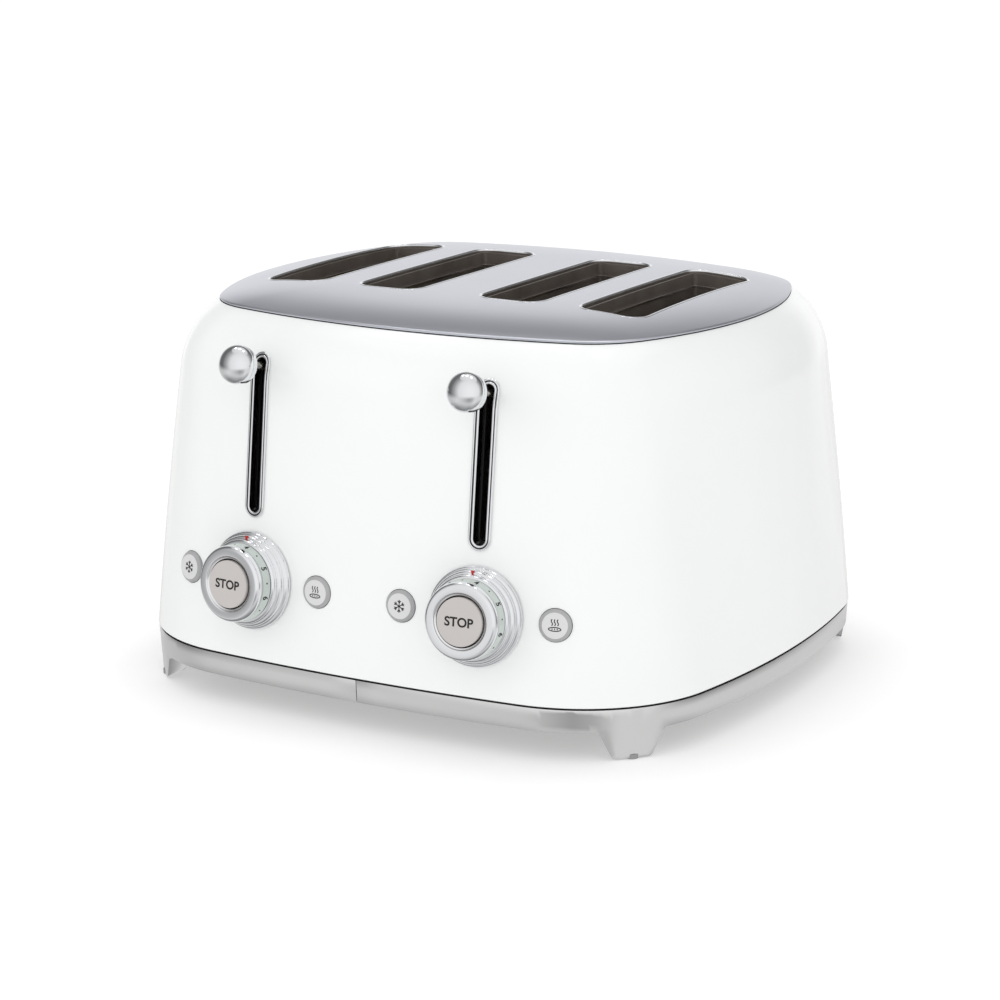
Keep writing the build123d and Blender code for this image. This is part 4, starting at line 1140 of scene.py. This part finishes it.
@dataclass
class HeaterWindings:
    """Nichrome ribbon across both faces of every mica card of one lever's slots."""

    model: Model
    side: str
    slot_xs: tuple[float, float]
    card_off: float = 20.5
    card_half: float = 0.62
    low: float = 64.0
    runs: int = 17
    pitch: float = 7.6
    length: float = 126.0
    width: float = 1.6
    thick: float = 0.14

    def tree(self) -> Tree:
        """Runs of flat ribbon above each other on every seed point."""
        tree, given = new_tree("heater_ribbon", {"Runs": "NodeSocketInt", **dict.fromkeys(
            ("Pitch", "Length", "Width", "Thickness"), "NodeSocketFloat")})
        size = add_node(tree, "ShaderNodeCombineXYZ", {
            "X": given.outputs["Thickness"], "Y": given.outputs["Length"],
            "Z": given.outputs["Width"]})
        ribbon = add_node(tree, "GeometryNodeMeshCube", {"Size": size.outputs[0]})
        step = add_node(tree, "ShaderNodeCombineXYZ", {"Z": given.outputs["Pitch"]})
        line = add_node(tree, "GeometryNodeMeshLine", {
            "Count": given.outputs["Runs"], "Offset": step.outputs[0]})
        stack = add_node(tree, "GeometryNodeInstanceOnPoints", {
            "Points": line.outputs[0], "Instance": ribbon.outputs[0]})
        plant(tree, given, stack, Finishes.RIBBON)
        return tree

    def build(self) -> None:
        """Wind the cards."""
        tree = bpy.data.node_groups.get("heater_ribbon") or self.tree()
        seeds = [self.model.place((x + edge * self.card_off + face * self.card_half, 0.0, self.low))
                 for x in self.slot_xs for edge in (-1, 1) for face in (-1, 1)]
        ribbon = grown(f"heater_ribbon_{self.side}", tree, seeds, {
            "Runs": self.runs, "Pitch": self.pitch * MM, "Length": self.length * MM,
            "Width": self.width * MM, "Thickness": self.thick * MM})
        finish_piece(ribbon, "housing", [])


@dataclass
class ReturnSpring:
    """Coil spring that lifts one carriage; it stretches between the frame and the carriage."""

    model: Model
    side: str
    x: float
    y: float = -91.5
    low: float = 126.2
    high: float = 194.3
    radius: float = 2.9
    wire: float = 0.4
    turns: float = 22.0
    beside: float = 16.0

    def tree(self) -> Tree:
        """A helix of round wire standing on the seed point."""
        tree, given = new_tree("coil_spring", dict.fromkeys(
            ("Turns", "Radius", "Height", "Wire"), "NodeSocketFloat"))
        radius = given.outputs["Radius"]
        helix = add_node(tree, "GeometryNodeCurveSpiral", {
            "Resolution": 20, "Rotations": given.outputs["Turns"], "Start Radius": radius,
            "End Radius": radius, "Height": given.outputs["Height"]})
        wire = add_node(tree, "GeometryNodeCurvePrimitiveCircle", {
            "Resolution": 8, "Radius": given.outputs["Wire"]})
        coil = add_node(tree, "GeometryNodeCurveToMesh", {
            "Curve": helix.outputs[0], "Profile Curve": wire.outputs[0], "Fill Caps": True})
        plant(tree, given, coil, Finishes.WIRE)
        return tree

    def build(self) -> None:
        """Wind the spring between its two heights."""
        tree = bpy.data.node_groups.get("coil_spring") or self.tree()
        foot, top = (self.model.place((self.x + self.beside, self.y, z))
                     for z in (self.low, self.high))
        coil = grown(f"return_coil_{self.side}", tree, [foot], {
            "Turns": self.turns, "Radius": self.radius * MM, "Height": (self.high - self.low) * MM,
            "Wire": self.wire * MM})
        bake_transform(coil)
        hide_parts(f"return_spring_{self.side}")
        LOG.info("%s stretches with the lever, %d faces", coil.name, len(coil.data.polygons))


# ---------------------------------------------------------------- the set
# Grey ramps of the reflected room, as (position, grey).
ROUND_CARD = [(0.0, 0.98), (0.07, 0.95), (0.14, 0.45), (0.25, 0.14), (0.42, 0.17), (0.6, 0.42),
              (0.78, 0.86), (1.0, 1.0)]
CEILING = [(0.0, 0.0), (0.74, 0.0), (0.82, 0.75), (1.0, 0.9)]
LOW_CARDS = [(0.0, 0.68), (0.3, 0.62), (0.4, 0.78), (0.47, 0.66), (0.56, 0.4), (0.61, 0.5),
             (0.66, 0.8), (1.0, 0.72)]
BELOW = [(0.0, 0.0), (0.08, 0.0), (0.3, 1.0), (0.45, 1.0), (0.75, 0.3), (1.0, 0.2)]


@dataclass
class Studio:
    """Camera, pale floor and soft lights."""

    model: Model
    azimuth: float = 29.84
    elevation: float = 14.15
    distance: float = 1648.35
    shift_x: float = -4.48
    aim_z: float = 87.41
    lens: float = 108.4
    bright_card: Point = (0.482, -0.841, 0.245)
    floor_half: float = 9000.0

    def camera(self) -> None:
        """Set the camera on its tripod, in front and to the right."""
        a, e = math.radians(self.azimuth), math.radians(self.elevation)
        back = Vector((math.sin(a) * math.cos(e), -math.cos(a) * math.cos(e), math.sin(e)))
        target = Vector((self.shift_x * math.cos(a), self.shift_x * math.sin(a), self.aim_z))
        data = bpy.data.cameras.new("camera")
        data.lens = self.lens
        data.sensor_width = 36.0
        data.clip_start = 0.05
        data.clip_end = 50.0
        eye = link(bpy.data.objects.new("camera", data))
        eye.location = self.model.place(target + back * self.distance)
        eye.rotation_euler = back.to_track_quat("Z", "Y").to_euler()
        bpy.context.scene.camera = eye

    def floor(self) -> None:
        """Lay the lit white sheet; the chrome sees the dark room instead of it."""
        corners = [(x * self.floor_half, y * self.floor_half, 0)
                   for x, y in ((-1, -1), (1, -1), (1, 1), (-1, 1))]
        sheet = self.model.piece("floor_sheet", corners, [(0, 1, 2, 3)], Finishes.OPAL)
        sheet.visible_glossy = False

    @staticmethod
    def softbox(name: str, place: Point, size: tuple[float, float], power: float,
                mirrored: bool) -> None:
        """Hang one soft light that faces the toaster.

        Args:
            name: the light's name.
            place: where it hangs, in metres.
            size: its width and height, in metres.
            power: its power in watts.
            mirrored: whether it is seen in the chrome.
        """
        aim = (0, 0, 0.1)
        data = bpy.data.lights.new(name, "AREA")
        data.shape = "RECTANGLE"
        data.size, data.size_y = size
        data.energy = power
        light = link(bpy.data.objects.new(name, data))
        light.visible_glossy = mirrored
        light.location = place
        light.rotation_euler = (Vector(place) - Vector(aim)).to_track_quat("Z", "Y").to_euler()

    @staticmethod
    def ramp(tree: Tree, value: bpy.types.NodeSocket, stops: Plan) -> bpy.types.NodeSocket:
        """A grey ramp over a value: stops are (position, grey) pairs in order."""
        node = add_node(tree, "ShaderNodeValToRGB", {0: value})
        marks = node.color_ramp.elements
        for place, shade in stops[1:-1]:
            marks.new(place)
        for mark, (place, shade) in zip(marks, stops):
            mark.position = place
            mark.color = (shade, shade, shade, 1)
        return node.outputs[0]

    def room(self) -> None:
        """An even white tent, with dark flags that only the chrome sees."""
        world = bpy.data.worlds.new("room")
        bpy.context.scene.world = world
        world.use_nodes = True
        tree = world.node_tree
        tree.nodes.clear()
        coords = add_node(tree, "ShaderNodeTexCoord").outputs["Generated"]
        x, y, z = add_node(tree, "ShaderNodeSeparateXYZ", {0: coords}).outputs
        facing = add_node(tree, "ShaderNodeVectorMath", {0: coords, 1: self.bright_card},
                          operation="DOT_PRODUCT").outputs["Value"]
        round_card = self.ramp(tree, maths(tree, "MULTIPLY_ADD", facing, 0.5, 0.5), ROUND_CARD)
        upper = maths(tree, "MAXIMUM", round_card, self.ramp(tree, z, CEILING))
        turn = maths(tree, "ARCTAN2", x, maths(tree, "MULTIPLY", y, -1.0))
        lap = maths(tree, "MULTIPLY_ADD", turn, 1 / math.tau, 0.5)
        below = self.ramp(tree, maths(tree, "MULTIPLY", z, -1.0), BELOW)
        both = add_node(tree, "ShaderNodeMix", {
            0: below, 6: upper, 7: self.ramp(tree, lap, LOW_CARDS)}, data_type="RGBA")
        seen = add_node(tree, "ShaderNodeLightPath")
        flags = add_node(tree, "ShaderNodeBackground", {"Color": both.outputs[2], "Strength": 1.0})
        tent = add_node(tree, "ShaderNodeBackground", {"Color": (1, 1, 1, 1), "Strength": 1.0})
        mixed = add_node(tree, "ShaderNodeMixShader", {
            0: seen.outputs["Is Glossy Ray"], 1: tent.outputs[0], 2: flags.outputs[0]})
        add_node(tree, "ShaderNodeOutputWorld", {"Surface": mixed.outputs[0]})

    def build(self) -> None:
        """Set the whole studio."""
        bpy.context.scene.view_settings.view_transform = "Standard"
        self.camera()
        self.floor()
        self.room()
        for i in (-1, 0, 1):
            self.softbox(f"overhead_{i + 2}", (0.5 * i - 0.3, 0.1, 1.7), (0.28, 0.2), 0.7, True)
        self.softbox("front_left", (-1.5, -1.9, 1.1), (1.1, 1.4), 3.0, False)


# ---------------------------------------------------------------- all together
def carry_over(frame: dict, taken: set[str]) -> None:
    """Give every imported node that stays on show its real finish.

    Args:
        taken: nodes that finished pieces stand for.
    """
    for node, body in frame["nodes"].items():
        if node in taken:
            continue
        finish = next(finish for finish, starts in CARRIED.items() if node.startswith(starts))
        for slot in body.material_slots:
            slot.material = finish.value.material()
        LOG.info("%s keeps its shape, in %s", node, finish.value.name)


def main() -> None:
    """Build the toaster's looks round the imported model."""
    logging.basicConfig(level=logging.INFO, format="%(name)s: %(message)s")
    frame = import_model()
    low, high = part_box("plate_seal")
    model = Model(Form(), (low[1] + high[1]) / 2 / MM)
    Studio(model).build()
    Casing(model).build()
    TopPlate(model).build()
    softened = {f"plinth_{side}": (0.5, Finishes.PLINTH, "housing", "plinth_chrome")
                for side, _ in SIDES}
    softened["cord_gland"] = (0.4, Finishes.BLACK, "housing", "black_plastic")
    softened["cord_winder"] = (0.5, Finishes.BLACK, "housing", "black_plastic")
    for side, _ in SIDES:
        softened[f"tray_front_{side}"] = (0.4, Finishes.ENAMEL, f"tray_{side}", "casing_enamel")
        softened[f"crumb_tray_{side}"] = (0.25, Finishes.SHEET, f"tray_{side}", "inner_steel")
    for node, (width, finish, body, slot) in softened.items():
        finish_piece(model.softened(frame, node, width, finish), body, [node])
    taken = {"body_shell", "top_plate", "slot_liners", *softened}
    for side, sign in SIDES:
        x = sign * Casing.control_x
        LeverGroup(model, side, x).build()
        DialGroup(model, side, x).build()
        PushButton(model, "defrost", side, x - Casing.button_pitch, Icon.SNOW).build()
        PushButton(model, "warming", side, x + Casing.button_pitch, Icon.WAVES).build()
        xs = tuple(v for v in TopPlate.slot_xs if v * sign > 0)
        HeaterWindings(model, side, xs).build()
        ReturnSpring(model, side, x).build()
        taken |= {f"{node}_{side}" for node in (
            "lever_track", "lever_knob", "dial_bezel", "browning_dial", "stop_button",
            "defrost_button", "warming_button", "return_spring")}
    carry_over(frame, taken)


if __name__ == "__main__":
    main()
